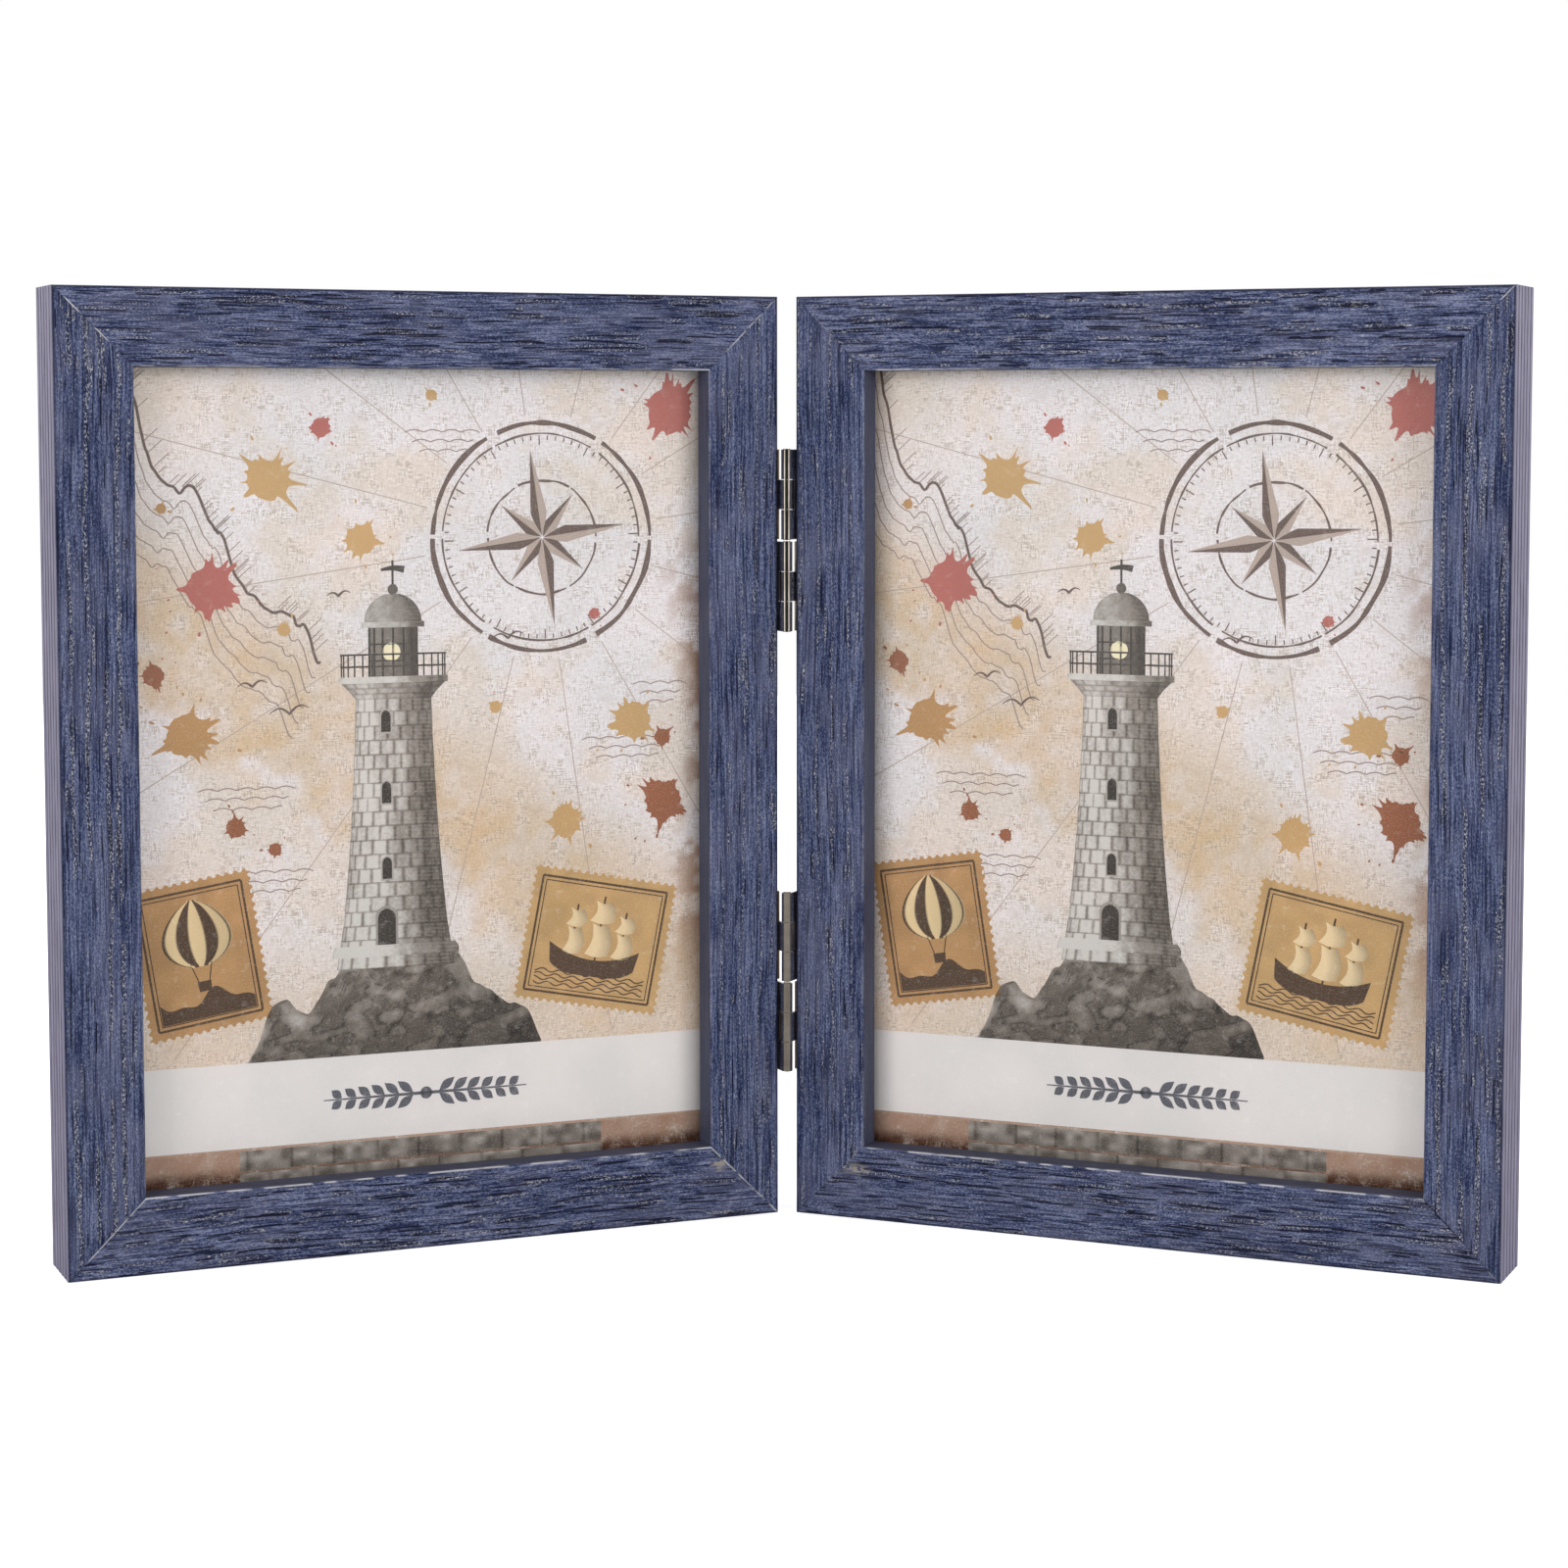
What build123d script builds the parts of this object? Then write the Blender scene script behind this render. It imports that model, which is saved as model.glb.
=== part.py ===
from build123d import *
import os
from math import cos, radians, sin

# Hinged double photo frame: two mitred wooden picture frames that fold like a book.
# Each piece is first made flat, as the right half lies when the two halves are opened in one plane:
# x runs out from the hinge pins, y runs back from the pins and z runs up from the table.
# The finished piece is then turned to the angle at which the frame stands, and mirrored for the left half.
# All lengths are in millimetres.

# Sight opening and moulding section
opening_width = 127.0
opening_height = 173.5
face_width = 16.5
lip_depth = 6.6
lip_overlap = 3.5
outer_edge_radius = 0.6
lip_edge_radius = 0.4

# Grooves that run along the outer side of the moulding
groove_count = 5
groove_width = 0.9
groove_depth = 0.35

# What lies in the rebate behind the lip
pane_clearance = 0.5
glass_thickness = 2.0
print_thickness = 0.3
pad_thickness = 6.0
board_thickness = 3.0
board_recess = 0.1
board_edge_chamfer = 0.4

# Wedge nails, driven across each mitre from the back
nail_leg = 4.2
nail_thickness = 0.5
nail_height = 9.0
nail_inset = 2.0
nail_sink = 0.3
nail_clearance = 0.03

# Turn buttons that hold the backing board in, and their screws
button_width = 8.0
button_tip_width = 6.0
button_bite = 5.5
button_thickness = 0.8
button_play = 0.05
button_bore_clearance = 0.08
button_screw_radius = 1.2
button_screw_length = 9.0
button_head_radius = 2.4
button_head_height = 1.5
button_head_round = 0.6

# Butt hinges of three knuckles, in pairs one above the other
rest_half_angle = 23.4
pin_setback = 2.0
barrel_radius = 1.25
pin_radius = 0.5
pin_clearance = 0.05
pin_head_radius = 0.8
pin_head_height = 0.15
leaf_thickness = 0.6
leaf_reach = 9.0
leaf_corner_radius = 1.0
hinge_length = 20.0
knuckle_count = 3
knuckle_play = 0.12
shallow_notch_clearance = 0.3
deep_notch_clearance = 0.7
pair_gap = 0.5
upper_pair_from_top = 54.1
lower_pair_from_bottom = 53.1

# Countersunk hinge screws, two to a leaf
hinge_screw_reach = 6.2
hinge_screw_spacing = 11.0
hinge_screw_radius = 0.8
hinge_screw_length = 8.0
countersink_angle = 90

# Common to all screws, the recess as shares of the radius at which it is cut
pilot_clearance = 0.02
recess_length_share = 1.2
recess_width_share = 0.28
recess_depth_share = 0.5
overrun = 1.0

# Sizes that follow
frame_width = opening_width + 2 * face_width
frame_height = opening_height + 2 * face_width
back_land = face_width - lip_overlap
pane_width = opening_width + 2 * (lip_overlap - pane_clearance)
pane_height = opening_height + 2 * (lip_overlap - pane_clearance)
print_front = lip_depth + glass_thickness
pad_front = print_front + print_thickness
board_front = pad_front + pad_thickness
board_back = board_front + board_thickness
moulding_depth = board_back + board_recess
near_side = barrel_radius
far_side = near_side + frame_width
front = pin_setback
back = front + moulding_depth
head_lift = button_thickness + 2 * button_play
knuckle_length = hinge_length / knuckle_count
upper_pair = frame_height - upper_pair_from_top
lower_pair = lower_pair_from_bottom

# The four mouldings of a half, each with the plane of its section and its length.
# The section's x runs from the outer side to the opening and its y from the front to the back.
mouldings = {
    "inner_stile": (
        Plane(origin=(near_side, front, 0), x_dir=(1, 0, 0), z_dir=(0, 0, 1)),
        frame_height,
    ),
    "top_rail": (
        Plane(origin=(near_side, front, frame_height), x_dir=(0, 0, -1), z_dir=(1, 0, 0)),
        frame_width,
    ),
    "outer_stile": (
        Plane(origin=(far_side, front, frame_height), x_dir=(-1, 0, 0), z_dir=(0, 0, -1)),
        frame_height,
    ),
    "bottom_rail": (
        Plane(origin=(far_side, front, 0), x_dir=(0, 0, 1), z_dir=(-1, 0, 0)),
        frame_width,
    ),
}

# The hinges, each with the height of its lower end and the half whose leaf has the two end knuckles
hinges = {
    "upper_hinge_a": (upper_pair + pair_gap / 2, "right"),
    "upper_hinge_b": (upper_pair - pair_gap / 2 - hinge_length, "left"),
    "lower_hinge_a": (lower_pair + pair_gap / 2, "right"),
    "lower_hinge_b": (lower_pair - pair_gap / 2 - hinge_length, "left"),
}


def layout_plane(section: Plane, depth: float) -> Plane:
    """Faces the front, at a depth behind it: x is the moulding section's x, y runs along the moulding."""
    return Plane(
        origin=section.from_local_coords(Vector(0, depth, 0)),
        x_dir=section.x_dir,
        z_dir=-section.y_dir,
    )


def button_plane(section: Plane, length: float, lift: float) -> Plane:
    """Faces back at a turn button's pivot, lifted off the wood: its x points to the backing board."""
    return Plane(
        origin=section.from_local_coords(Vector(back_land / 2, moulding_depth + lift, length / 2)),
        x_dir=section.x_dir,
        z_dir=section.y_dir,
    )


def hinge_screw_planes(bottom: float) -> list[Plane]:
    """Face away from the wood, at the two screws of a hinge leaf and flush with its face."""
    middle = bottom + hinge_length / 2
    return [
        Plane(origin=(near_side - leaf_thickness, hinge_screw_reach, z), x_dir=(0, 1, 0), z_dir=(-1, 0, 0))
        for z in (middle - hinge_screw_spacing / 2, middle + hinge_screw_spacing / 2)
    ]


def nail_outlines(end: float, along: int, clearance: float) -> list[list[tuple]]:
    """The outlines of a corner's two wedge nails, their bends on the mitre, with a clearance all round."""
    outlines = []
    for start in (nail_inset, back_land - nail_inset - nail_leg):
        low = start - clearance
        inside = start + nail_thickness + clearance
        high = start + nail_leg + clearance
        corners = [(low, low), (high, low), (high, inside), (inside, inside), (inside, high), (low, high)]
        outlines.append([(x, end + along * y) for x, y in corners])
    return outlines


def make_cross(radius: float) -> Sketch:
    """The outline of a screw head's cross recess."""
    with BuildSketch() as cross:
        Rectangle(recess_length_share * radius, recess_width_share * radius)
        Rectangle(recess_width_share * radius, recess_length_share * radius)
    return cross.sketch


def make_section() -> Sketch:
    """The moulding's section: grooved outer side, plain front, square lip and the rebate behind it."""
    groove_pitch = moulding_depth / (groove_count + 1)
    outline = [(0, 0)]
    for n in range(1, groove_count + 1):
        outline.append((0, n * groove_pitch - groove_width / 2))
        outline.append((groove_depth, n * groove_pitch))
        outline.append((0, n * groove_pitch + groove_width / 2))
    outline += [
        (0, moulding_depth),
        (back_land, moulding_depth),
        (back_land, lip_depth),
        (face_width, lip_depth),
        (face_width, 0),
    ]
    with BuildSketch() as section:
        Polygon(*outline, align=None)
        fillet(section.vertices().sort_by_distance((0, 0))[0], outer_edge_radius)
        fillet(section.vertices().sort_by_distance((0, moulding_depth))[0], outer_edge_radius)
        fillet(section.vertices().sort_by_distance((face_width, 0))[0], lip_edge_radius)
    return section.sketch


def make_moulding(name: str) -> Part:
    """One mitred length of moulding, with slots for its nails and pilot holes for its screws."""
    section, length = mouldings[name]
    square_section = make_section()
    mitred_outline = [(0, 0), (face_width, face_width), (face_width, length - face_width), (0, length)]
    with BuildPart() as moulding:
        with BuildSketch(section):
            add(square_section)
        extrude(amount=length)
        with BuildSketch(layout_plane(section, 0)):
            Polygon(*mitred_outline, align=None)
        extrude(amount=-moulding_depth, mode=Mode.INTERSECT)
        with BuildSketch(layout_plane(section, moulding_depth)):
            for outline in nail_outlines(0, 1, nail_clearance) + nail_outlines(length, -1, nail_clearance):
                Polygon(*outline, align=None)
        extrude(amount=nail_sink + nail_height + nail_clearance, mode=Mode.SUBTRACT)
        with BuildSketch(button_plane(section, length, 0)):
            Circle(button_screw_radius + pilot_clearance)
        extrude(amount=-button_screw_length, mode=Mode.SUBTRACT)
        if name == "inner_stile":
            for bottom, _ in hinges.values():
                for plane in hinge_screw_planes(bottom):
                    with BuildSketch(plane.offset(-leaf_thickness)):
                        Circle(hinge_screw_radius + pilot_clearance)
                    extrude(amount=-hinge_screw_length, mode=Mode.SUBTRACT)
    return moulding.part


def make_corner_nails() -> Part:
    """The wedge nails of the four corners, two to a corner."""
    with BuildPart() as nails:
        for section, _ in mouldings.values():
            with BuildSketch(layout_plane(section, moulding_depth - nail_sink)):
                for outline in nail_outlines(0, 1, 0):
                    Polygon(*outline, align=None)
            extrude(amount=nail_height)
    return nails.part


def make_pane(pane_front: float, pane_back: float) -> Part:
    """A flat sheet that fills the rebate between two depths behind the front of the moulding."""
    centre = (near_side + frame_width / 2, front + pane_front, frame_height / 2)
    with BuildPart() as pane:
        with BuildSketch(Plane(origin=centre, x_dir=(1, 0, 0), z_dir=(0, 1, 0))):
            Rectangle(pane_width, pane_height)
        extrude(amount=pane_back - pane_front)
    return pane.part


def make_backing_board() -> Part:
    """The hardboard back, its rear edges eased."""
    with BuildPart() as board:
        add(make_pane(board_front, board_back))
        chamfer(board.faces().sort_by(Axis.Y)[-1].edges(), board_edge_chamfer)
    return board.part


def make_turn_button(name: str) -> Part:
    """A flat steel button, round about its screw, with a narrower tip over the backing board."""
    section, length = mouldings[name]
    tip_reach = back_land / 2 + button_bite - button_tip_width / 2
    with BuildPart() as button:
        with BuildSketch(button_plane(section, length, button_play)):
            Circle(button_width / 2)
            with Locations((tip_reach, 0)):
                Circle(button_tip_width / 2)
            make_hull()
            Circle(button_screw_radius + button_bore_clearance, mode=Mode.SUBTRACT)
        extrude(amount=button_thickness)
    return button.part


def make_turn_button_screws() -> Part:
    """The four round-headed screws on which the turn buttons swing."""
    with BuildPart() as screws:
        for section, length in mouldings.values():
            seat = button_plane(section, length, head_lift)
            with BuildSketch(seat):
                Circle(button_head_radius)
            extrude(amount=button_head_height)
            fillet(screws.edges(Select.LAST).sort_by(Axis.Y)[-1], button_head_round)
            with BuildSketch(seat):
                Circle(button_screw_radius)
            extrude(amount=pilot_clearance - head_lift - button_screw_length)
            with BuildSketch(seat.offset(button_head_height)):
                add(make_cross(button_head_radius))
            extrude(amount=-recess_depth_share * button_head_radius, mode=Mode.SUBTRACT)
    return screws.part


def make_hinge_screws() -> Part:
    """The countersunk screws that hold one half's hinge leaves to its side."""
    with BuildPart() as screws:
        for bottom, _ in hinges.values():
            for top in hinge_screw_planes(bottom):
                neck = top.offset(-leaf_thickness)
                with BuildSketch(top):
                    Circle(hinge_screw_radius + leaf_thickness)
                with BuildSketch(neck):
                    Circle(hinge_screw_radius)
                loft()
                with BuildSketch(neck):
                    Circle(hinge_screw_radius)
                extrude(amount=pilot_clearance - hinge_screw_length)
                with BuildSketch(top):
                    add(make_cross(hinge_screw_radius))
                extrude(amount=-recess_depth_share * hinge_screw_radius, mode=Mode.SUBTRACT)
    return screws.part


def make_leaf(two_knuckles: bool) -> Part:
    """A hinge leaf with its lower end at the table, rolled into the two end knuckles or the middle one."""
    if two_knuckles:
        notches = [(knuckle_length, hinge_length - knuckle_length)]
        notch_reach = barrel_radius + shallow_notch_clearance
    else:
        notches = [(-overrun, knuckle_length), (hinge_length - knuckle_length, hinge_length + overrun)]
        notch_reach = pin_setback + deep_notch_clearance
    notch_front = barrel_radius + overrun
    with BuildPart() as leaf:
        with BuildSketch():
            Circle(barrel_radius)
            with Locations((near_side - leaf_thickness / 2, leaf_reach / 2)):
                Rectangle(leaf_thickness, leaf_reach)
            Circle(pin_radius + pin_clearance, mode=Mode.SUBTRACT)
        extrude(amount=hinge_length)
        for low, high in notches:
            with BuildSketch(Plane.XY.offset(low - knuckle_play / 2)):
                with Locations((0, (notch_reach - notch_front) / 2)):
                    Rectangle(2 * notch_front, notch_reach + notch_front)
            extrude(amount=high - low + knuckle_play, mode=Mode.SUBTRACT)
        fillet(leaf.edges().filter_by(Axis.X).group_by(Axis.Y)[-1], leaf_corner_radius)
        with Locations(*hinge_screw_planes(0)):
            CounterSinkHole(
                hinge_screw_radius + pilot_clearance,
                hinge_screw_radius + leaf_thickness + pilot_clearance,
                counter_sink_angle=countersink_angle,
            )
    return leaf.part


def make_pin() -> Part:
    """A hinge pin, both of its ends peened over the end knuckles."""
    with BuildPart() as pin:
        with BuildSketch():
            Circle(pin_radius)
        extrude(amount=hinge_length)
        with BuildSketch():
            Circle(pin_head_radius)
        extrude(amount=-pin_head_height)
        with BuildSketch(Plane.XY.offset(hinge_length)):
            Circle(pin_head_radius)
        extrude(amount=pin_head_height)
    return pin.part


def standing_depth(x: float, y: float) -> float:
    """How far behind the pins a place on the flat half lies once the half is turned to its standing angle."""
    half_angle = radians(rest_half_angle)
    return y * cos(half_angle) - x * sin(half_angle)


def pins_behind_origin() -> float:
    """The pins' distance behind the origin, which is in the middle of the standing frame's depth."""
    edge = outer_edge_radius
    foremost = standing_depth(far_side - edge, front + edge) - edge
    head_rim = near_side + back_land / 2 - button_head_radius + button_head_round
    head_top = back + head_lift + button_head_height - button_head_round
    rearmost_head = standing_depth(head_rim, head_top) + button_head_round
    rearmost_edge = standing_depth(near_side + edge, back - edge) + edge
    return -(foremost + max(rearmost_head, rearmost_edge)) / 2


def export_standing(name: str, piece: Part, side: str, lift: float = 0):
    """Turns a flat piece to its standing place, mirrored for the left half, and writes it."""
    with BuildPart() as standing:
        with Locations((0, pins_behind_origin(), lift)):
            add(piece, rotation=(0, 0, -rest_half_angle))
        if side == "left":
            mirror(about=Plane.YZ, mode=Mode.REPLACE)
    standing.part.label = name
    export_step(standing.part, f"parts/{name}.step")


os.makedirs("parts", exist_ok=True)

half_pieces = {
    "glass": make_pane(lip_depth, print_front),
    "print": make_pane(print_front, pad_front),
    "filler_pad": make_pane(pad_front, board_front),
    "backing_board": make_backing_board(),
    "corner_nails": make_corner_nails(),
    "turn_button_screws": make_turn_button_screws(),
    "hinge_screws": make_hinge_screws(),
}
for moulding_name in mouldings:
    half_pieces[moulding_name] = make_moulding(moulding_name)
    half_pieces[moulding_name.split("_")[0] + "_turn_button"] = make_turn_button(moulding_name)
for piece_name, half_piece in half_pieces.items():
    for half in ("left", "right"):
        export_standing(f"{half}_{piece_name}", half_piece, half)

leaves = {two_knuckles: make_leaf(two_knuckles) for two_knuckles in (True, False)}
hinge_pin = make_pin()
for hinge_name, (hinge_bottom, two_knuckle_half) in hinges.items():
    for half in ("left", "right"):
        export_standing(f"{hinge_name}_{half}_leaf", leaves[half == two_knuckle_half], half, hinge_bottom)
    export_standing(f"{hinge_name}_pin", hinge_pin, two_knuckle_half, hinge_bottom)

print(f"The pins are {pins_behind_origin():.4f} mm behind the origin")
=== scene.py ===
"""Looks of the hinged double photo frame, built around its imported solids.

The eight rails and stiles are rebuilt as film-wrapped mouldings with real grain relief, and the two prints
as sheets of parchment with thin plates of ink on them. Glass, board, card, hinges, turn buttons, screws and
nails keep their solids and get finishes of their own. Sizes are in millimetres until a mesh is written.
"""
import logging
import math
from collections.abc import Callable
from dataclasses import dataclass, field
from enum import Enum

import bpy
import numpy as np
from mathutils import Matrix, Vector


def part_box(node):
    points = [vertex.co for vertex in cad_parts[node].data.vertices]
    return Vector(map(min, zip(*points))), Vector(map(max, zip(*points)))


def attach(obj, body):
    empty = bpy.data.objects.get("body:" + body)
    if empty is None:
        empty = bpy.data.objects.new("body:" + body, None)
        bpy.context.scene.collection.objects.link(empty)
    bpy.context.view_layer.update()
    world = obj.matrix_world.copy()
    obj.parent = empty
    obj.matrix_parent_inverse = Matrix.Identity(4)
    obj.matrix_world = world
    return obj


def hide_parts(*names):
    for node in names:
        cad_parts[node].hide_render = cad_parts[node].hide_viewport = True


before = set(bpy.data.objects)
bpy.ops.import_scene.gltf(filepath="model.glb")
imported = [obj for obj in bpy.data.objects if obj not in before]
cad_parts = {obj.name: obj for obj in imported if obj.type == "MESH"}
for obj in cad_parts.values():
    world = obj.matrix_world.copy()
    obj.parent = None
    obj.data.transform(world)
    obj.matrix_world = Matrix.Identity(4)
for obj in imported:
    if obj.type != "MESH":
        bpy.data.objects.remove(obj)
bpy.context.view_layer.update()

log = logging.getLogger("photo_frame")

MM = 0.001

# Kind and slot of a point value in the mesh, by how many numbers it has
POINT_VALUES = {1: ("FLOAT", "value"), 3: ("FLOAT_VECTOR", "vector"), 4: ("FLOAT_COLOR", "color")}


def srgb(red: float, green: float, blue: float) -> tuple[float, float, float, float]:
    """Turn display values from 0 to 255 into the linear colour that shaders use.

    Args:
        red: Red from 0 to 255.
        green: Green from 0 to 255.
        blue: Blue from 0 to 255.

    Returns:
        Linear red, green, blue and an alpha of 1.
    """
    shown = np.array([red, green, blue], float) / 255
    linear = np.where(shown <= 0.04045, shown / 12.92, ((shown + 0.055) / 1.055) ** 2.4)
    return (*[float(c) for c in linear], 1.0)


def smooth_step(low: float, high: float, value: np.ndarray) -> np.ndarray:
    """Ease from 0 to 1 as the value goes from low to high: 3 q squared minus 2 q cubed of the share q."""
    share = np.clip((value - low) / (high - low), 0, 1)
    return share * share * (3 - 2 * share)


def bell(away: np.ndarray, width: float | np.ndarray) -> np.ndarray:
    """Fall off from 1 on both sides of nought: e to the minus square of the distance over the width."""
    return np.exp(-((away / width) ** 2))


def to_whole(value: np.ndarray) -> np.ndarray:
    """How far a number is from the nearest whole one."""
    return np.abs(value - np.round(value))


def lattice_noise(x: np.ndarray | float, y: np.ndarray | float, seed: int) -> np.ndarray:
    """Smooth random values over a plane, one lattice point to a unit.

    Formula: random numbers stand at whole steps of x and y, and each point eases between the four around it.

    Args:
        x: First coordinate, in lattice steps.
        y: Second coordinate, in lattice steps.
        seed: Which set of random numbers is used.

    Returns:
        Values from 0 to 1, of the shape of x and y together.
    """
    size = 256
    table = np.random.default_rng(seed).random((size, size))
    x, y = np.broadcast_arrays(x, y)
    col, row = np.floor(x).astype(int), np.floor(y).astype(int)
    across, along = smooth_step(0, 1, x - col), smooth_step(0, 1, y - row)
    left, right, near, far = col % size, (col + 1) % size, row % size, (row + 1) % size
    low = table[left, near] * (1 - across) + table[right, near] * across
    high = table[left, far] * (1 - across) + table[right, far] * across
    return low * (1 - along) + high * along


def wander(x: np.ndarray | float, y: np.ndarray | float, seed: int) -> np.ndarray:
    """Lattice noise about nought, from -0.5 to 0.5."""
    return lattice_noise(x, y, seed) - 0.5


class Hand(Enum):
    """Which half of the frame, as the viewer sees it."""

    LEFT = -1
    RIGHT = 1

    @property
    def word(self) -> str:
        """The name that the half's pieces start with."""
        return self.name.lower()

    @property
    def body(self) -> str:
        """The CAD body that the half's fixed pieces ride on."""
        return f"{self.word}_half"


class Member(Enum):
    """The four lengths of moulding of one half."""

    INNER = "inner_stile"
    TOP = "top_rail"
    OUTER = "outer_stile"
    BOTTOM = "bottom_rail"

    @property
    def upright(self) -> bool:
        """Whether the moulding stands."""
        return self in (Member.INNER, Member.OUTER)


@dataclass(frozen=True)
class HalfPlace:
    """How one half, laid flat, comes into the row frame.

    Flat coordinates: x runs out from the hinge pins, y back from them and z up from the table.
    """

    hand: Hand
    turn: float = math.radians(23.4)

    def to_row(self, points: np.ndarray) -> np.ndarray:
        """Turn the half about the pins and mirror it for the left hand.

        Formula: across = x cos + y sin, back = pin minus x sin plus y cos, height = z.

        Args:
            points: Flat points in millimetres, three to a row of the last axis.

        Returns:
            The same points in the row frame, in metres.
        """
        low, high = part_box("upper_hinge_a_pin")
        pin_back = (low[1] + high[1]) / 2
        x, y, z = points[..., 0], points[..., 1], points[..., 2]
        across = (x * math.cos(self.turn) + y * math.sin(self.turn)) * MM
        back = pin_back + (y * math.cos(self.turn) - x * math.sin(self.turn)) * MM
        return np.stack([self.hand.value * across, back, z * MM], -1)


@dataclass
class Surface:
    """The points, faces and point values of one piece, gathered from several patches."""

    points: list[np.ndarray] = field(default_factory=list)
    faces: list[list] = field(default_factory=list)
    values: dict[str, list[np.ndarray]] = field(default_factory=dict)
    count: int = 0

    def add_points(self, points: np.ndarray, **values: np.ndarray) -> np.ndarray:
        """Add points with their values.

        Args:
            points: Points in millimetres, of shape (..., 3).
            values: Numbers (...), vectors (..., 3) or colours (..., 4) for each point, by attribute name.

        Returns:
            The index of each point, of shape (...).
        """
        flat = points.reshape(-1, 3)
        for name, value in values.items():
            value = np.asarray(value, float)
            self.values.setdefault(name, []).append(value.reshape(len(flat), -1))
        indices = np.arange(self.count, self.count + len(flat)).reshape(points.shape[:-1])
        self.points.append(flat)
        self.count += len(flat)
        return indices

    def add_quads(self, rows: np.ndarray, closed: bool = False) -> None:
        """Join a grid of point indices by four-sided faces.

        Args:
            rows: Indices of shape (m, n).
            closed: Whether the last column joins the first.
        """
        if closed:
            rows = np.concatenate([rows, rows[:, :1]], 1)
        quads = np.stack([rows[:-1, :-1], rows[:-1, 1:], rows[1:, 1:], rows[1:, :-1]], -1)
        self.faces.append(quads.reshape(-1, 4).tolist())

    def add_polygons(self, *polygons: np.ndarray) -> None:
        """Add single faces of any number of corners."""
        self.faces.append([list(map(int, polygon)) for polygon in polygons])

    def build(self, name: str, place: HalfPlace, sharp: float = 40.0) -> bpy.types.Object:
        """Write the gathered patches into a mesh object with outward faces.

        Args:
            name: Name of the piece.
            place: How flat points come into the row frame.
            sharp: Edges that turn by more degrees than this stay sharp.

        Returns:
            The new object, linked to the scene.
        """
        points = place.to_row(np.concatenate(self.points))
        faces = [face for patch in self.faces for face in patch]
        if self.volume(points) < 0:
            faces = [face[::-1] for face in faces]
        mesh = bpy.data.meshes.new(name)
        mesh.from_pydata(points.tolist(), [], faces)
        for key, parts in self.values.items():
            data = np.concatenate(parts)
            kind, slot = POINT_VALUES[data.shape[1]]
            mesh.attributes.new(key, kind, "POINT").data.foreach_set(slot, data.astype(np.float32).ravel())
        mesh.update()
        mesh.shade_smooth()
        mesh.set_sharp_from_angle(angle=math.radians(sharp))
        piece = bpy.data.objects.new(name, mesh)
        bpy.context.scene.collection.objects.link(piece)
        return piece

    def volume(self, points: np.ndarray) -> float:
        """Signed volume: the sum of the tetrahedra from the origin to each fan triangle, over six.

        Args:
            points: Places of the points, of shape (n, 3).

        Returns:
            The volume, above nought where the faces point outwards.
        """
        total = 0.0
        for patch in self.faces:
            sizes = {len(face) for face in patch}
            for size in sizes:
                same = np.array([face for face in patch if len(face) == size])
                for k in range(1, size - 1):
                    a, b, c = points[same[:, 0]], points[same[:, k]], points[same[:, k + 1]]
                    total += float(np.einsum("ij,ij->i", a, np.cross(b, c)).sum())
        return total / 6


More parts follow.
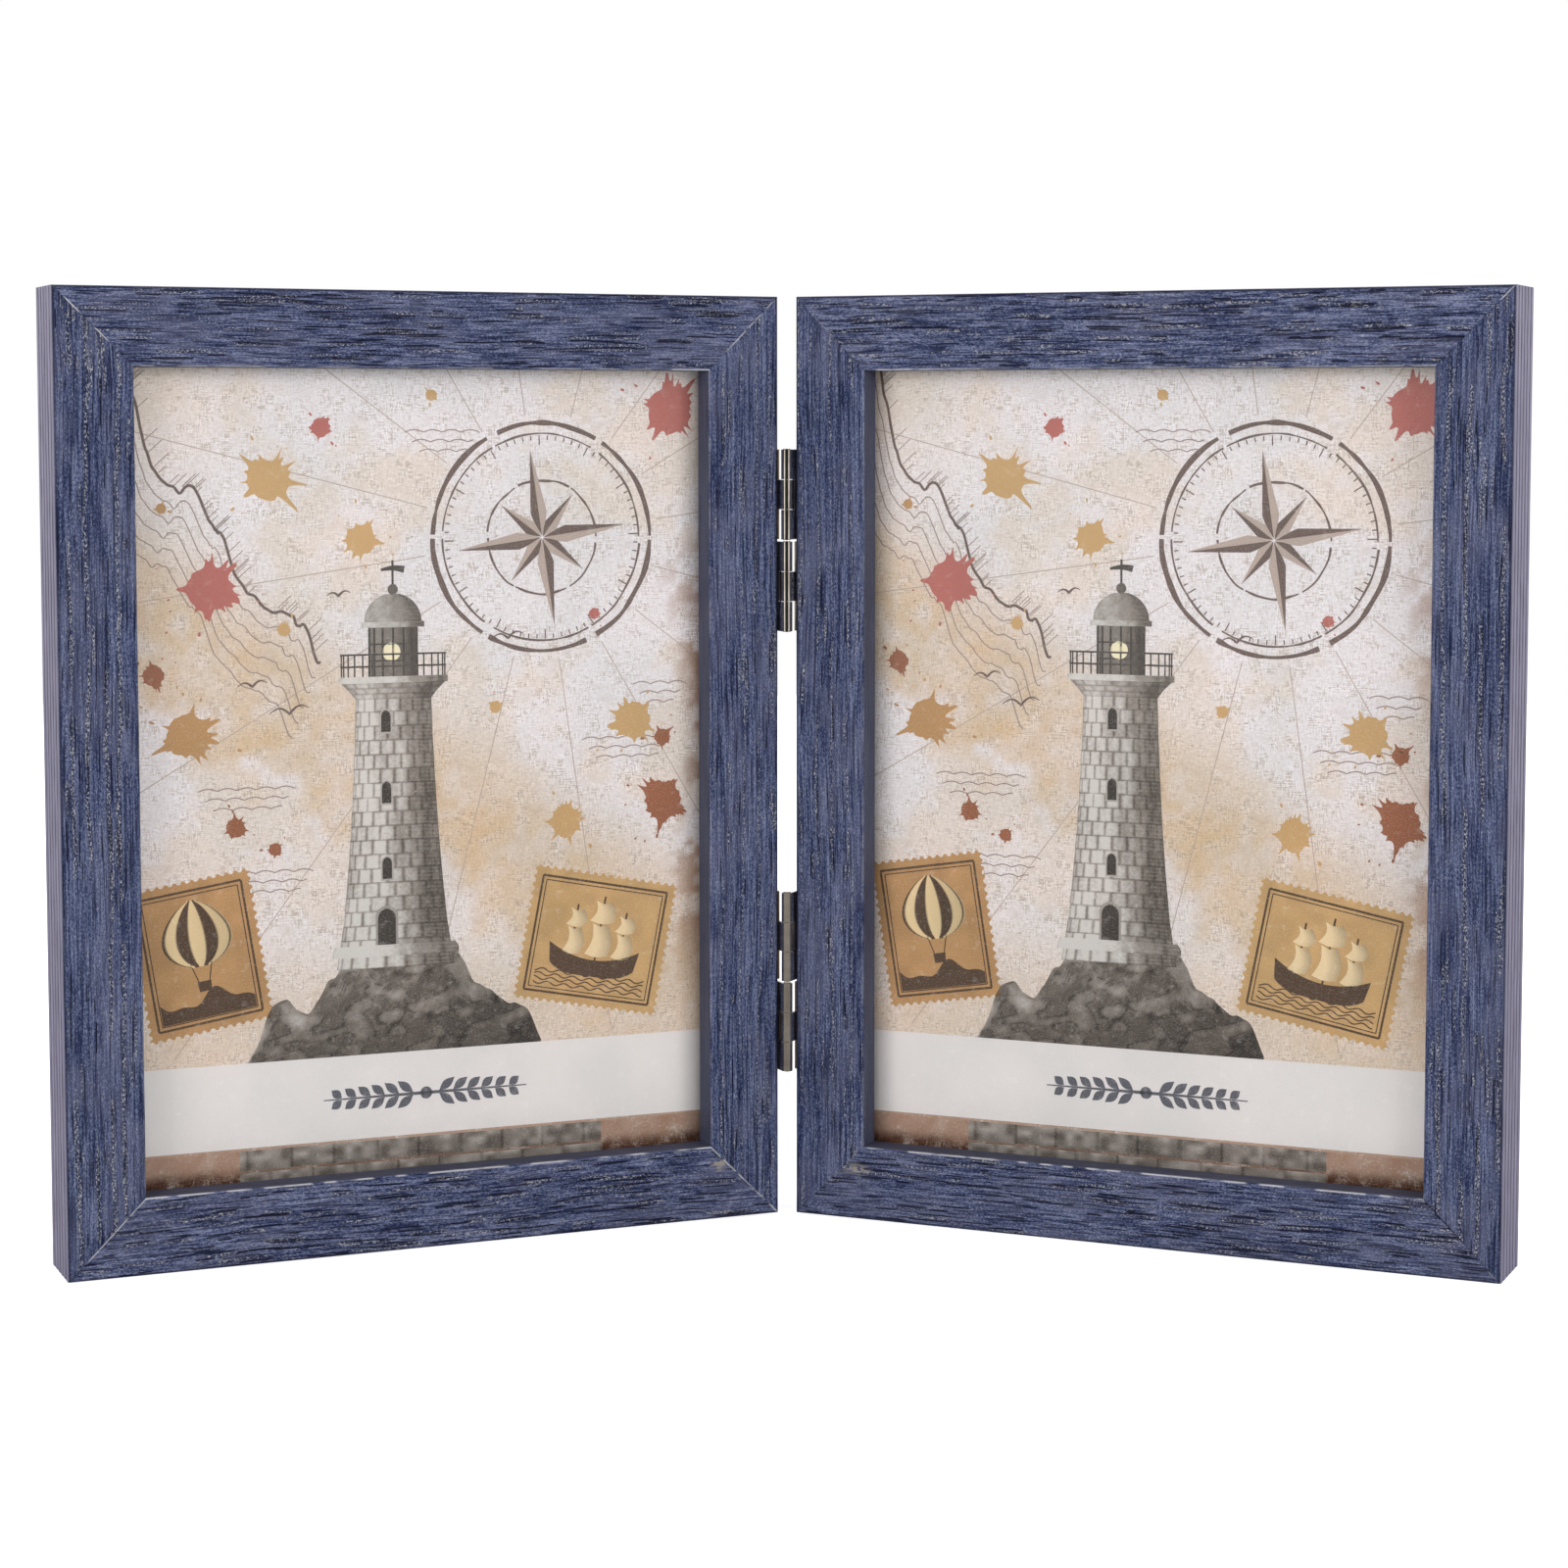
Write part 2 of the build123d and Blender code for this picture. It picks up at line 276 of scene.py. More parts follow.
class NodeTree:
    """Short calls that put together the nodes of one material or of the world."""

    # Where the Mix node keeps its colour sockets
    colour_a, colour_b, colour_out = 6, 7, 2

    def __init__(self, owner: bpy.types.Material | bpy.types.World) -> None:
        """Start with an empty tree.

        Args:
            owner: The material or world that the nodes belong to.
        """
        owner.use_nodes = True
        self.owner = owner
        self.tree = owner.node_tree
        self.tree.nodes.clear()

    def put(self, socket: bpy.types.NodeSocket, value: object) -> None:
        """Link a socket to another, or set its own value.

        Args:
            socket: The input to fill.
            value: Another node's output, a number or a colour.
        """
        if isinstance(value, bpy.types.NodeSocket):
            self.tree.links.new(value, socket)
        else:
            socket.default_value = value

    def node(self, kind: str, settings: dict | None = None, **inputs: object) -> bpy.types.Node:
        """Make a node.

        Args:
            kind: Blender's node type without the leading ShaderNode.
            settings: Properties of the node.
            inputs: Values or sockets for the inputs, underscores standing for spaces.

        Returns:
            The node.
        """
        made = self.tree.nodes.new("ShaderNode" + kind)
        for key, value in (settings or {}).items():
            setattr(made, key, value)
        for key, value in inputs.items():
            self.put(made.inputs[key.replace("_", " ")], value)
        return made

    def attribute(self, name: str, output: str = "Fac") -> bpy.types.NodeSocket:
        """Read a point value of the piece."""
        return self.node("Attribute", {"attribute_name": name}).outputs[output]

    def place(self) -> bpy.types.NodeSocket:
        """Where a point of the piece is, in metres."""
        return self.node("TexCoord").outputs["Object"]

    def math(self, operation: str, first: object, second: object = 0.0) -> bpy.types.NodeSocket:
        """Combine one or two numbers by one of the Math node's operations.

        Args:
            operation: Blender's name of the operation.
            first, second: Numbers or sockets.

        Returns:
            The result.
        """
        made = self.node("Math", {"operation": operation})
        self.put(made.inputs[0], first)
        self.put(made.inputs[1], second)
        return made.outputs[0]

    def plus(self, first: object, second: object) -> bpy.types.NodeSocket:
        """Add two numbers."""
        return self.math("ADD", first, second)

    def minus(self, first: object, second: object) -> bpy.types.NodeSocket:
        """Take the second number from the first."""
        return self.math("SUBTRACT", first, second)

    def times(self, first: object, second: object) -> bpy.types.NodeSocket:
        """Multiply two numbers."""
        return self.math("MULTIPLY", first, second)

    def weigh(self, *parts: tuple[object, float]) -> bpy.types.NodeSocket:
        """Add up patterns, each times its weight.

        Args:
            parts: Pairs of a pattern and its weight.

        Returns:
            The sum.
        """
        total = self.times(*parts[0])
        for pattern, weight in parts[1:]:
            total = self.plus(total, self.times(pattern, weight))
        return total

    def stretch(self, vector: object, scale: tuple, shift: tuple = (0, 0, 0)) -> bpy.types.NodeSocket:
        """Scale and shift pattern coordinates.

        Args:
            vector: The coordinates.
            scale: Factors for x, y and z.
            shift: What is added after scaling.

        Returns:
            The new coordinates.
        """
        made = self.node("Mapping", Vector=vector)
        made.inputs["Scale"].default_value = scale
        made.inputs["Location"].default_value = shift
        return made.outputs[0]

    def noise(self, vector: object, scale: float = 1.0, detail: float = 2.0, rough: float = 0.5,
              warp: float = 0.0) -> bpy.types.NodeSocket:
        """Smooth noise from 0 to 1.

        Args:
            vector: The coordinates.
            scale: How many lattice points to a unit.
            detail: How many finer layers it has.
            rough: How strong each finer layer is.
            warp: How far the pattern is distorted.

        Returns:
            The noise.
        """
        made = self.node("TexNoise", Vector=vector, Scale=scale, Detail=detail, Roughness=rough,
                         Distortion=warp)
        return made.outputs["Fac"]

    def span(self, value: object, low: float, high: float, to_low: float = 0.0,
             to_high: float = 1.0) -> bpy.types.NodeSocket:
        """Map the range low to high onto another, eased and kept within it.

        Args:
            value: The number or socket to map.
            low, high: The range it comes from.
            to_low, to_high: The range it goes to.

        Returns:
            The mapped number.
        """
        made = self.node("MapRange", {"interpolation_type": "SMOOTHSTEP"})
        for key, number in (("Value", value), ("From Min", low), ("From Max", high), ("To Min", to_low),
                            ("To Max", to_high)):
            self.put(made.inputs[key], number)
        return made.outputs["Result"]

    def ramp(self, value: object, stops: list[tuple[float, tuple]]) -> bpy.types.NodeSocket:
        """Turn a number into a colour by way of stops (place, colour).

        Args:
            value: The number or socket.
            stops: Places from 0 to 1, each with a linear colour.

        Returns:
            The colour.
        """
        made = self.node("ValToRGB", Fac=value)
        elements = made.color_ramp.elements
        while len(elements) < len(stops):
            elements.new(0.5)
        for element, (at, colour) in zip(elements, stops):
            element.position = at
            element.color = colour
        return made.outputs["Color"]

    def mix(self, share: object, first: object, second: object, blend: str = "MIX") -> bpy.types.NodeSocket:
        """Blend two colours.

        Args:
            share: How much of the second colour shows.
            first, second: Colours or sockets.
            blend: Blender's name of the blend.

        Returns:
            The blended colour.
        """
        made = self.node("Mix", {"data_type": "RGBA", "blend_type": blend})
        self.put(made.inputs["Factor"], share)
        self.put(made.inputs[self.colour_a], first)
        self.put(made.inputs[self.colour_b], second)
        return made.outputs[self.colour_out]

    def mix_shaders(self, share: object, first: object, second: object) -> bpy.types.NodeSocket:
        """Blend two shaders.

        Args:
            share: How much of the second shader shows.
            first, second: The shaders.

        Returns:
            The blended shader.
        """
        made = self.node("MixShader")
        for socket, value in zip(made.inputs, (share, first, second)):
            self.put(socket, value)
        return made.outputs[0]

    def bump(self, height: object, distance: float, strength: float = 1.0) -> bpy.types.NodeSocket:
        """Tilt the surface by a height pattern, distance being its depth in metres."""
        return self.node("Bump", Height=height, Distance=distance, Strength=strength).outputs[0]

    def shade(self, **inputs: object) -> bpy.types.Material:
        """Close the material with one Principled shader."""
        return self.close(self.node("BsdfPrincipled", **inputs).outputs[0])

    def close(self, shader: bpy.types.NodeSocket) -> bpy.types.Material | bpy.types.World:
        """Join the last shader to the output.

        Args:
            shader: What the surface takes its look from.

        Returns:
            The finished material or world.
        """
        kind = "OutputWorld" if isinstance(self.owner, bpy.types.World) else "OutputMaterial"
        self.node(kind, Surface=shader)
        return self.owner


@dataclass(frozen=True)
class FilmFinish:
    """Slate-blue woodgrain film over fibreboard, with dark pores, cream flecks and bare board where it ends.

    The pattern is read from the point vector grain: across the film, along it and a shift, in millimetres.
    """

    name: str
    stretch: float
    fleck_share: float
    deep: tuple = srgb(15, 23, 54)
    middle: tuple = srgb(48, 57, 87)
    pale: tuple = srgb(95, 102, 129)
    haze: tuple = srgb(90, 91, 113)
    pore: tuple = srgb(5, 7, 30)
    fleck: tuple = srgb(172, 170, 172)
    # Pale cut threads at the mitres; the same colour is the painted highlight on the lip's arris
    thread: tuple = srgb(206, 204, 206)
    lip: tuple = srgb(63, 64, 79)
    row_shade: float = 0.75
    # Painted sheen: the sides, and the film where it wraps onto the back, are painted much lighter than the
    # front to stand for the light they catch
    side: tuple = srgb(142, 138, 160)
    # Dark streaks on the sides, and the painted shade in their grooves
    side_streak_and_groove_shade: tuple = srgb(46, 44, 62)
    board_dark: tuple = srgb(116, 90, 64)
    board: tuple = srgb(150, 122, 92)
    board_light: tuple = srgb(176, 150, 118)
    worn: tuple = srgb(150, 140, 122)
    shadow: tuple = srgb(44, 34, 26)

    def make(self) -> bpy.types.Material:
        """Build the material.

        Returns:
            The finished material.
        """
        n = NodeTree(bpy.data.materials.new(self.name))
        grain = n.attribute("grain", "Vector")
        k = self.stretch

        # The grain: broad stretches, streaks and hairs along it, and a fine tooth
        broad = n.noise(n.stretch(grain, (0.24, 0.045 * k, 1)), detail=2, rough=0.5)
        streak = n.noise(n.stretch(grain, (1.9, 0.10 * k, 1), (9, 3, 0)), detail=3, rough=0.6)
        hair = n.noise(n.stretch(grain, (4.4, 0.22 * k, 1), (4, 1, 0)), detail=2, rough=0.6)
        fine = n.noise(n.stretch(grain, (3.6, 1.7, 1), (2, 7, 0)), detail=3, rough=0.65)
        patch = n.noise(n.stretch(grain, (0.13, 0.055, 1), (12, 2, 0)), detail=2, rough=0.5)
        tooth = n.minus(fine, 0.5)
        tone = n.weigh((broad, 0.18), (streak, 0.42), (hair, 0.40), (tooth, 0.60))
        film = n.ramp(tone, [(0.38, self.deep), (0.49, self.middle), (0.62, self.pale)])
        film = n.mix(n.span(patch, 0.46, 0.62, 0.0, 0.30), film, self.haze)

        # Pores: the slits in the mesh with ragged edges, and finer ones
        row = n.attribute("row")
        film = n.mix(n.times(row, self.row_shade), film, self.deep)
        thread = n.noise(n.stretch(grain, (2.6, 0.14 * k, 1), (31, 5, 0)), detail=1.5, rough=0.5)
        slit = n.times(n.span(thread, 0.60, 0.66), n.span(fine, 0.34, 0.48))
        ragged = n.plus(n.attribute("pore"), n.times(tooth, 0.6))
        pore = n.math("MAXIMUM", n.times(slit, 0.7), n.span(ragged, 0.34, 0.56))
        film = n.mix(n.times(pore, 0.92), film, self.pore)

        # Cream flecks: in rows beside the slits, and a few alone
        dots = n.noise(n.stretch(grain, (4.0, 2.0, 1), (17, 11, 0)), detail=2, rough=0.6, warp=0.3)
        fleck = n.times(n.span(row, 0.15, 0.70), n.span(dots, 0.51, 0.61))
        lone = n.times(n.span(dots, 0.58 - self.fleck_share, 0.67), n.span(streak, 0.40, 0.60, 0.1, 0.6))
        fleck = n.math("MAXIMUM", fleck, lone)
        fleck = n.times(fleck, n.minus(1.0, n.times(pore, 0.7)))
        film = n.mix(n.times(fleck, 0.66), film, self.fleck)

        # The sides, painted lighter as a painted sheen, with dark streaks and painted shade in their grooves,
        # then the marks that the mesh carries
        flank = n.mix(n.span(hair, 0.38, 0.66), self.side, self.side_streak_and_groove_shade)
        flank = n.mix(0.55, self.side, flank)
        # Painted shade in the grooves of the sides
        flank = n.mix(n.attribute("groove"), flank, self.side_streak_and_groove_shade)
        flank = n.mix(n.times(fleck, 0.25), flank, self.fleck)
        skin = n.mix(n.attribute("flank"), film, flank)
        skin = n.mix(n.attribute("edge"), skin, self.pore)
        skin = n.mix(n.times(n.attribute("lip"), 0.72), skin, self.lip)
        # The cut threads at the mitres, and the pale line on the lip's arris that is partly worn film and
        # partly painted highlight
        skin = n.mix(n.attribute("cut"), skin, self.thread)
        skin = n.mix(n.attribute("worn"), skin, self.worn)

        # Bare fibreboard on the back, with dark joint lines at the mitres and painted shade in the nail slots
        bare = n.attribute("bare")
        fibre = n.noise(n.stretch(n.place(), (900, 900, 900)), detail=3, rough=0.7)
        clump = n.noise(n.stretch(n.place(), (120, 120, 120), (3, 1, 2)), detail=3, rough=0.6)
        dust = n.weigh((fibre, 0.6), (clump, 0.4))
        board = n.ramp(dust, [(0.3, self.board_dark), (0.5, self.board), (0.7, self.board_light)])
        colour = n.mix(bare, skin, board)
        colour = n.mix(n.attribute("joint"), colour, self.shadow)

        rough = n.plus(n.plus(0.46, n.times(fine, 0.16)), n.times(bare, 0.35))
        height = n.minus(n.weigh((fine, 0.5), (fleck, 0.35)), pore)
        height = n.plus(height, n.times(n.times(fibre, bare), 0.8))
        return n.shade(Base_Color=colour, Roughness=rough, Specular_IOR_Level=0.18,
                       Normal=n.bump(height, 0.0001, 0.8))


@dataclass(frozen=True)
class MetalFinish:
    """Plated metal with drawn lines, fine scratches and slight clouding."""

    name: str
    bright: tuple
    dull: tuple
    rough: float
    clouding: float
    scratch: float
    lines: tuple = (600, 600, 40)

    def make(self) -> bpy.types.Material:
        """Build the material.

        Returns:
            The finished material.
        """
        n = NodeTree(bpy.data.materials.new(self.name))
        place = n.place()
        drawn = n.noise(n.stretch(place, self.lines), scale=4.0, detail=3, rough=0.6)
        cloud = n.noise(n.stretch(place, (160, 160, 160), (4, 4, 1)), detail=4, rough=0.6)
        pits = n.noise(n.stretch(place, (2400, 2400, 2400), (1, 2, 3)), detail=2)
        tone = n.span(n.weigh((cloud, 0.7), (drawn, 0.3)), 0.35, 0.7)
        colour = n.mix(tone, self.bright, self.dull)
        rough = n.plus(self.rough, n.times(cloud, self.clouding))
        height = n.weigh((drawn, 0.8), (pits, 0.2))
        return n.shade(Base_Color=colour, Metallic=1.0, Roughness=rough,
                       Normal=n.bump(height, 0.00001, self.scratch))


@dataclass(frozen=True)
class BoardFinish:
    """Brown hardboard, its smooth face flecked with pressed fibres."""

    name: str = "hardboard_brown"
    dark: tuple = srgb(82, 56, 36)
    brown: tuple = srgb(112, 80, 54)
    light: tuple = srgb(142, 108, 76)
    pit: tuple = srgb(60, 40, 27)
    straw: tuple = srgb(172, 138, 100)

    def make(self) -> bpy.types.Material:
        """Build the material.

        Returns:
            The finished material.
        """
        n = NodeTree(bpy.data.materials.new(self.name))
        place = n.place()
        strands = n.noise(n.stretch(place, (420, 420, 420)), detail=4, rough=0.7, warp=1.6)
        clouds = n.noise(n.stretch(place, (28, 28, 28), (2, 5, 1)), detail=4, rough=0.6)
        specks = n.noise(n.stretch(place, (1500, 1500, 1500), (7, 1, 4)), detail=2, rough=0.6)
        tone = n.weigh((strands, 0.55), (clouds, 0.45))
        colour = n.ramp(tone, [(0.34, self.dark), (0.5, self.brown), (0.66, self.light)])
        colour = n.mix(n.span(specks, 0.64, 0.72, 0.0, 0.6), colour, self.pit)
        colour = n.mix(n.span(specks, 0.36, 0.29, 0.0, 0.5), colour, self.straw)
        rough = n.plus(0.42, n.times(strands, 0.28))
        height = n.weigh((strands, 0.7), (specks, 0.3))
        return n.shade(Base_Color=colour, Roughness=rough, Normal=n.bump(height, 0.00006, 0.7))


@dataclass(frozen=True)
class CardFinish:
    """Corrugated card: kraft liners and flutes 3.6 mm apart that show at the edges."""

    name: str = "corrugated_card"
    flute_pitch: float = 3.6 * MM
    dark: tuple = srgb(134, 102, 68)
    kraft: tuple = srgb(168, 134, 94)
    light: tuple = srgb(196, 164, 122)
    # Painted shade: the colour in the valleys between the flutes
    valley_shade: tuple = srgb(110, 82, 54)

    def make(self) -> bpy.types.Material:
        """Build the material.

        Returns:
            The finished material.
        """
        n = NodeTree(bpy.data.materials.new(self.name))
        place = n.place()
        pulp = n.noise(n.stretch(place, (700, 700, 700)), detail=4, rough=0.7, warp=0.8)
        clouds = n.noise(n.stretch(place, (40, 40, 40), (1, 3, 9)), detail=3)
        tone = n.weigh((pulp, 0.6), (clouds, 0.4))
        colour = n.ramp(tone, [(0.35, self.dark), (0.5, self.kraft), (0.68, self.light)])
        height_up = n.node("SeparateXYZ", Vector=place).outputs[2]
        wave = n.math("SINE", n.times(height_up, 2 * math.pi / self.flute_pitch))
        ridge = n.span(wave, -0.9, 0.9)
        # Painted shade, darker in the valleys between the flutes
        colour = n.mix(n.times(n.minus(1.0, ridge), 0.25), colour, self.valley_shade)
        height = n.weigh((ridge, 0.8), (pulp, 0.2))
        return n.shade(Base_Color=colour, Roughness=n.plus(0.75, n.times(pulp, 0.2)),
                       Normal=n.bump(height, 0.0003, 0.5))


@dataclass(frozen=True)
class GlassFinish:
    """Clear float glass: light passes straight through, and the surface mirrors a little."""

    name: str = "float_glass"
    clear: tuple = srgb(254, 254, 254)
    faint: tuple = srgb(251, 252, 252)
    mirror_ior: float = 1.32

    def make(self) -> bpy.types.Material:
        """Build the material.

        Returns:
            The finished material.
        """
        n = NodeTree(bpy.data.materials.new(self.name))
        film = n.noise(n.stretch(n.place(), (55, 55, 55)), detail=4, rough=0.6)
        tint = n.mix(n.span(film, 0.3, 0.7), self.clear, self.faint)
        through = n.node("BsdfTransparent", Color=tint).outputs[0]
        smear = n.span(film, 0.3, 0.8, 0.01, 0.05)
        shine = n.node("BsdfGlossy", Color=(1, 1, 1, 1), Roughness=smear).outputs[0]
        edge = n.node("Fresnel", IOR=self.mirror_ior).outputs[0]
        return n.close(n.mix_shaders(n.times(edge, 0.6), through, shine))


@dataclass(frozen=True)
class Mitre:
    """How one corner's joint shows.

    The thread is the pale cut edge of the film. It is seen from near to far, both measured from the outer
    edge, and fades at either end. The gap is the dark line of the joint, which opens out beyond open_from.
    """

    thread: float = 0.0
    near: float = 0.0
    far: float = 16.5
    gap: float = 0.5
    open_from: float = 99.0
    fade: float = 0.6
    line_width: float = 0.07
    open_width: float = 0.06


# The corners, by half, whether at the top and whether at the hinges: thread, near, far, gap and open_from
MITRES = {
    (Hand.LEFT, True, False): Mitre(1.0, 0.4, 12.0),
    (Hand.LEFT, True, True): Mitre(0.9, 1.2, 13.0),
    (Hand.LEFT, False, False): Mitre(0.75, 4.0, 16.5),
    (Hand.LEFT, False, True): Mitre(1.0, 0.0, 16.5, 0.3),
    (Hand.RIGHT, True, True): Mitre(0.25, 3.0, 9.0, 0.3),
    (Hand.RIGHT, True, False): Mitre(0.8, 0.3, 3.0, 0.4),
    (Hand.RIGHT, False, True): Mitre(0.2, 9.0, 15.0, 0.3),
    (Hand.RIGHT, False, False): Mitre(0.3, 1.0, 4.0, 0.6, 8.5),
}

# The worn spots beside the inner bottom corners: place along, place across, half length, half height
WORN = {Hand.LEFT: (14.4, 12.4, 2.1, 1.5), Hand.RIGHT: (14.8, 11.3, 3.2, 1.2)}


@dataclass
class Moulding:
    """One mitred length of film-wrapped moulding.

    The profile is carried along the length: a point lies t in from the outer edge and y back from the front,
    and its place along the length runs from t to the length less t, which cuts both ends at 45 degrees.
    """

    member: Member
    place: HalfPlace
    half_width: float = 160.0
    half_height: float = 206.5
    near_side: float = 1.25
    front: float = 2.0
    depth: float = 18.0
    face: float = 16.5
    lip: float = 6.6
    overlap: float = 3.5
    outer_round: float = 0.6
    lip_round: float = 0.4
    groove_count: int = 5
    groove_half_width: float = 0.45
    groove_depth: float = 0.35
    groove_shadow: float = 0.75
    step_across: float = 0.18
    step_along: float = 0.5
    step_on_back: float = 0.24
    film_on_back: float = 1.5
    pore_depth: float = 0.11
    wave_depth: float = 0.035
    mitre_ease: float = 0.10
    seam_depth: float = 0.08
    nail_leg: float = 4.2
    nail_thick: float = 0.5
    nail_inset: float = 2.0
    nail_sink: float = 0.32

    @property
    def row_share(self) -> float:
        """How strongly the long rows of flecks show: less on the inner stiles."""
        return 0.55 if self.member is Member.INNER else 1.0

    @property
    def length(self) -> float:
        """Length along the outer edge."""
        return self.half_height if self.member.upright else self.half_width

    @property
    def name(self) -> str:
        """Name of the CAD node that the moulding stands for."""
        return f"{self.place.hand.word}_{self.member.value}"

    @property
    def seed(self) -> int:
        """A number that sets this moulding's grain apart from the others'."""
        return 11 + 7 * list(Member).index(self.member) + 101 * (self.place.hand is Hand.RIGHT)

    @staticmethod
    def arc(centre: tuple, radius: float, start: float, end: float, count: int) -> np.ndarray:
        """Points on a quarter round, centre plus radius times (cos, sin) of the angle in degrees."""
        angle = np.radians(np.linspace(start, end, count))
        return np.stack([centre[0] + radius * np.cos(angle), centre[1] + radius * np.sin(angle)], -1)

    def flank_line(self) -> np.ndarray:
        """The outer side from back to front: a straight line with five V-shaped grooves.

        Returns:
            Points (t, y) of shape (n, 2).
        """
        r, d, w = self.outer_round, self.depth, self.groove_half_width
        stations = [np.linspace(r, d - r, 16)]
        places = np.array([-1.15, -1, -0.5, -0.12, 0.12, 0.5, 1, 1.15])
        for k in range(1, self.groove_count + 1):
            stations.append(k * d / (self.groove_count + 1) + w * places)
        y = np.sort(np.concatenate(stations))[::-1]
        return np.stack([self.groove_at(y) * self.groove_depth, y], -1)

    def groove_at(self, y: np.ndarray, half_width: float | None = None) -> np.ndarray:
        """How deep in a groove a place is: 1 less the distance to its middle over its half width.

        Args:
            y: Depth behind the front.
            half_width: Half the groove's width, by default the moulding's own.

        Returns:
            Share of the groove's depth, from 0 to 1.
        """
        pitch = self.depth / (self.groove_count + 1)
        k = np.clip(np.round(y / pitch), 1, self.groove_count)
        return np.clip(1 - np.abs(y - k * pitch) / (half_width or self.groove_half_width), 0, 1)

    def mitre_marks(self, t: np.ndarray, mitre: np.ndarray,
                    at_start: np.ndarray) -> tuple[np.ndarray, np.ndarray]:
        """The marks beside a mitre: a pale thread where the film was cut, and a dark gap on the joint.

        Formula: a bell over the distance to the joint, times an ease in and out over the stretch that shows
        at this corner, times an on and off pattern along the joint.

        Args:
            t: Distance from the outer edge.
            mitre: Distance from the mitre.
            at_start: Whether a point belongs to the first of the two ends.

        Returns:
            The thread and the gap, each from 0 to 1.
        """
        thread, gap = np.zeros_like(t), np.zeros_like(t)
        right = self.place.hand is Hand.RIGHT
        share = 0.3 if self.member.upright else 0.9
        for first in (True, False):
            at_top = not first if self.member.upright else self.member is Member.TOP
            at_pins = self.member is Member.INNER if self.member.upright else first
            joint = MITRES[self.place.hand, at_top, at_pins]
            wobble = lattice_noise(t * 1.1, 4, 5 + 2 * at_top + at_pins + 40 * right)
            seen = smooth_step(joint.near - joint.fade, joint.near + joint.fade, t)
            seen = seen * smooth_step(joint.far + joint.fade, joint.far - joint.fade, t)
            line = joint.thread * seen * smooth_step(0.12, 0.42, wobble)
            line = line * bell(mitre - joint.line_width, joint.line_width) * share
            opened = smooth_step(joint.open_from - 1, joint.open_from + 1, t)
            dark = bell(mitre, joint.line_width + joint.open_width * opened)
            dark = dark * np.clip(joint.gap + opened, 0, 1)
            here = at_start if first else ~at_start
            thread, gap = np.where(here, line, thread), np.where(here, dark * (1 - line), gap)
        return thread, gap

    def arris_wear_and_highlight(self, t: np.ndarray, y: np.ndarray, along: np.ndarray) -> np.ndarray:
        """The pale line along the arris of the lip, mostly along the bottom: partly film worn off the arris,
        partly a painted highlight where the round catches the light from above.

        Formula: a bell about the arris times an on and off pattern along it.

        Args:
            t: Place across the face, from the outer edge inwards.
            y: Depth behind the front.
            along: Place along the outer edge.

        Returns:
            How strongly the line shows, from 0 to 1.
        """
        share = {Member.BOTTOM: 0.75, Member.TOP: 0.35}.get(self.member, 0.12)
        if self.member is Member.TOP:
            share = share + 0.4 * smooth_step(34, 22, along)
        pattern = smooth_step(0.30, 0.62, lattice_noise(along / 2.6, 2, self.seed + 9))
        return share * pattern * bell(t - self.face + 0.16, 0.13) * (y < 0.5)

    def worn_spot(self, t: np.ndarray, along: np.ndarray) -> np.ndarray:
        """The yellowed spot beside the inner bottom corner: a flat bell, broken up by lattice noise.

        Args:
            t: Place across the face, from the outer edge inwards.
            along: Place along the outer edge.

        Returns:
            How strongly the spot shows, from 0 to 1.
        """
        if self.member is not Member.BOTTOM:
            return np.zeros_like(t)
        centre, height, half_long, half_high = WORN[self.place.hand]
        away = ((along - centre) / half_long) ** 2 + ((t - height) / half_high) ** 2
        return bell(away, 1) * smooth_step(0.25, 0.6, lattice_noise(along * 1.1, t * 2.6, 77))

    def profile(self) -> np.ndarray:
        """The closed section, front to the low side of y, going round from the outer front edge.

        Returns:
            Points (t, y) of shape (n, 2).
        """
        f, d, r, q = self.face, self.depth, self.outer_round, self.lip_round
        back_land = f - self.overlap
        face_t = np.arange(r, f - q, self.step_across)
        face_line = np.stack([face_t, 0 * face_t], -1)
        lip_wall = np.stack([np.full(14, f), np.linspace(q, self.lip, 14)], -1)
        lip_back = np.array([[f - 1.2, self.lip], [f - 2.4, self.lip], [back_land, self.lip]])
        rebate = np.stack([np.full(4, back_land), np.linspace(self.lip, d, 5)[1:]], -1)
        back_t = np.arange(back_land, r, -self.step_on_back)[1:]
        back_line = np.stack([back_t, np.full(len(back_t), d)], -1)
        return np.concatenate([
            self.arc((r, r), r, 180, 270, 6)[:-1],
            face_line,
            self.arc((f - q, q), q, 270, 360, 5)[:-1],
            lip_wall,
            lip_back,
            rebate,
            back_line,
            self.arc((r, d - r), r, 90, 180, 4)[:-1],
            self.flank_line()[:-1],
        ])

    def stations(self) -> np.ndarray:
        """Shares of the length at which the section stands, closer together beside the mitres.

        Returns:
            The shares, rising from 0 to 1.
        """
        count = round(self.length / self.step_along)
        ends = np.array([0.0, 0.10, 0.22, 0.36]) / self.length
        middle = np.linspace(0.5 / self.length, 1 - 0.5 / self.length, count)
        return np.concatenate([ends, middle, 1 - ends[::-1]])

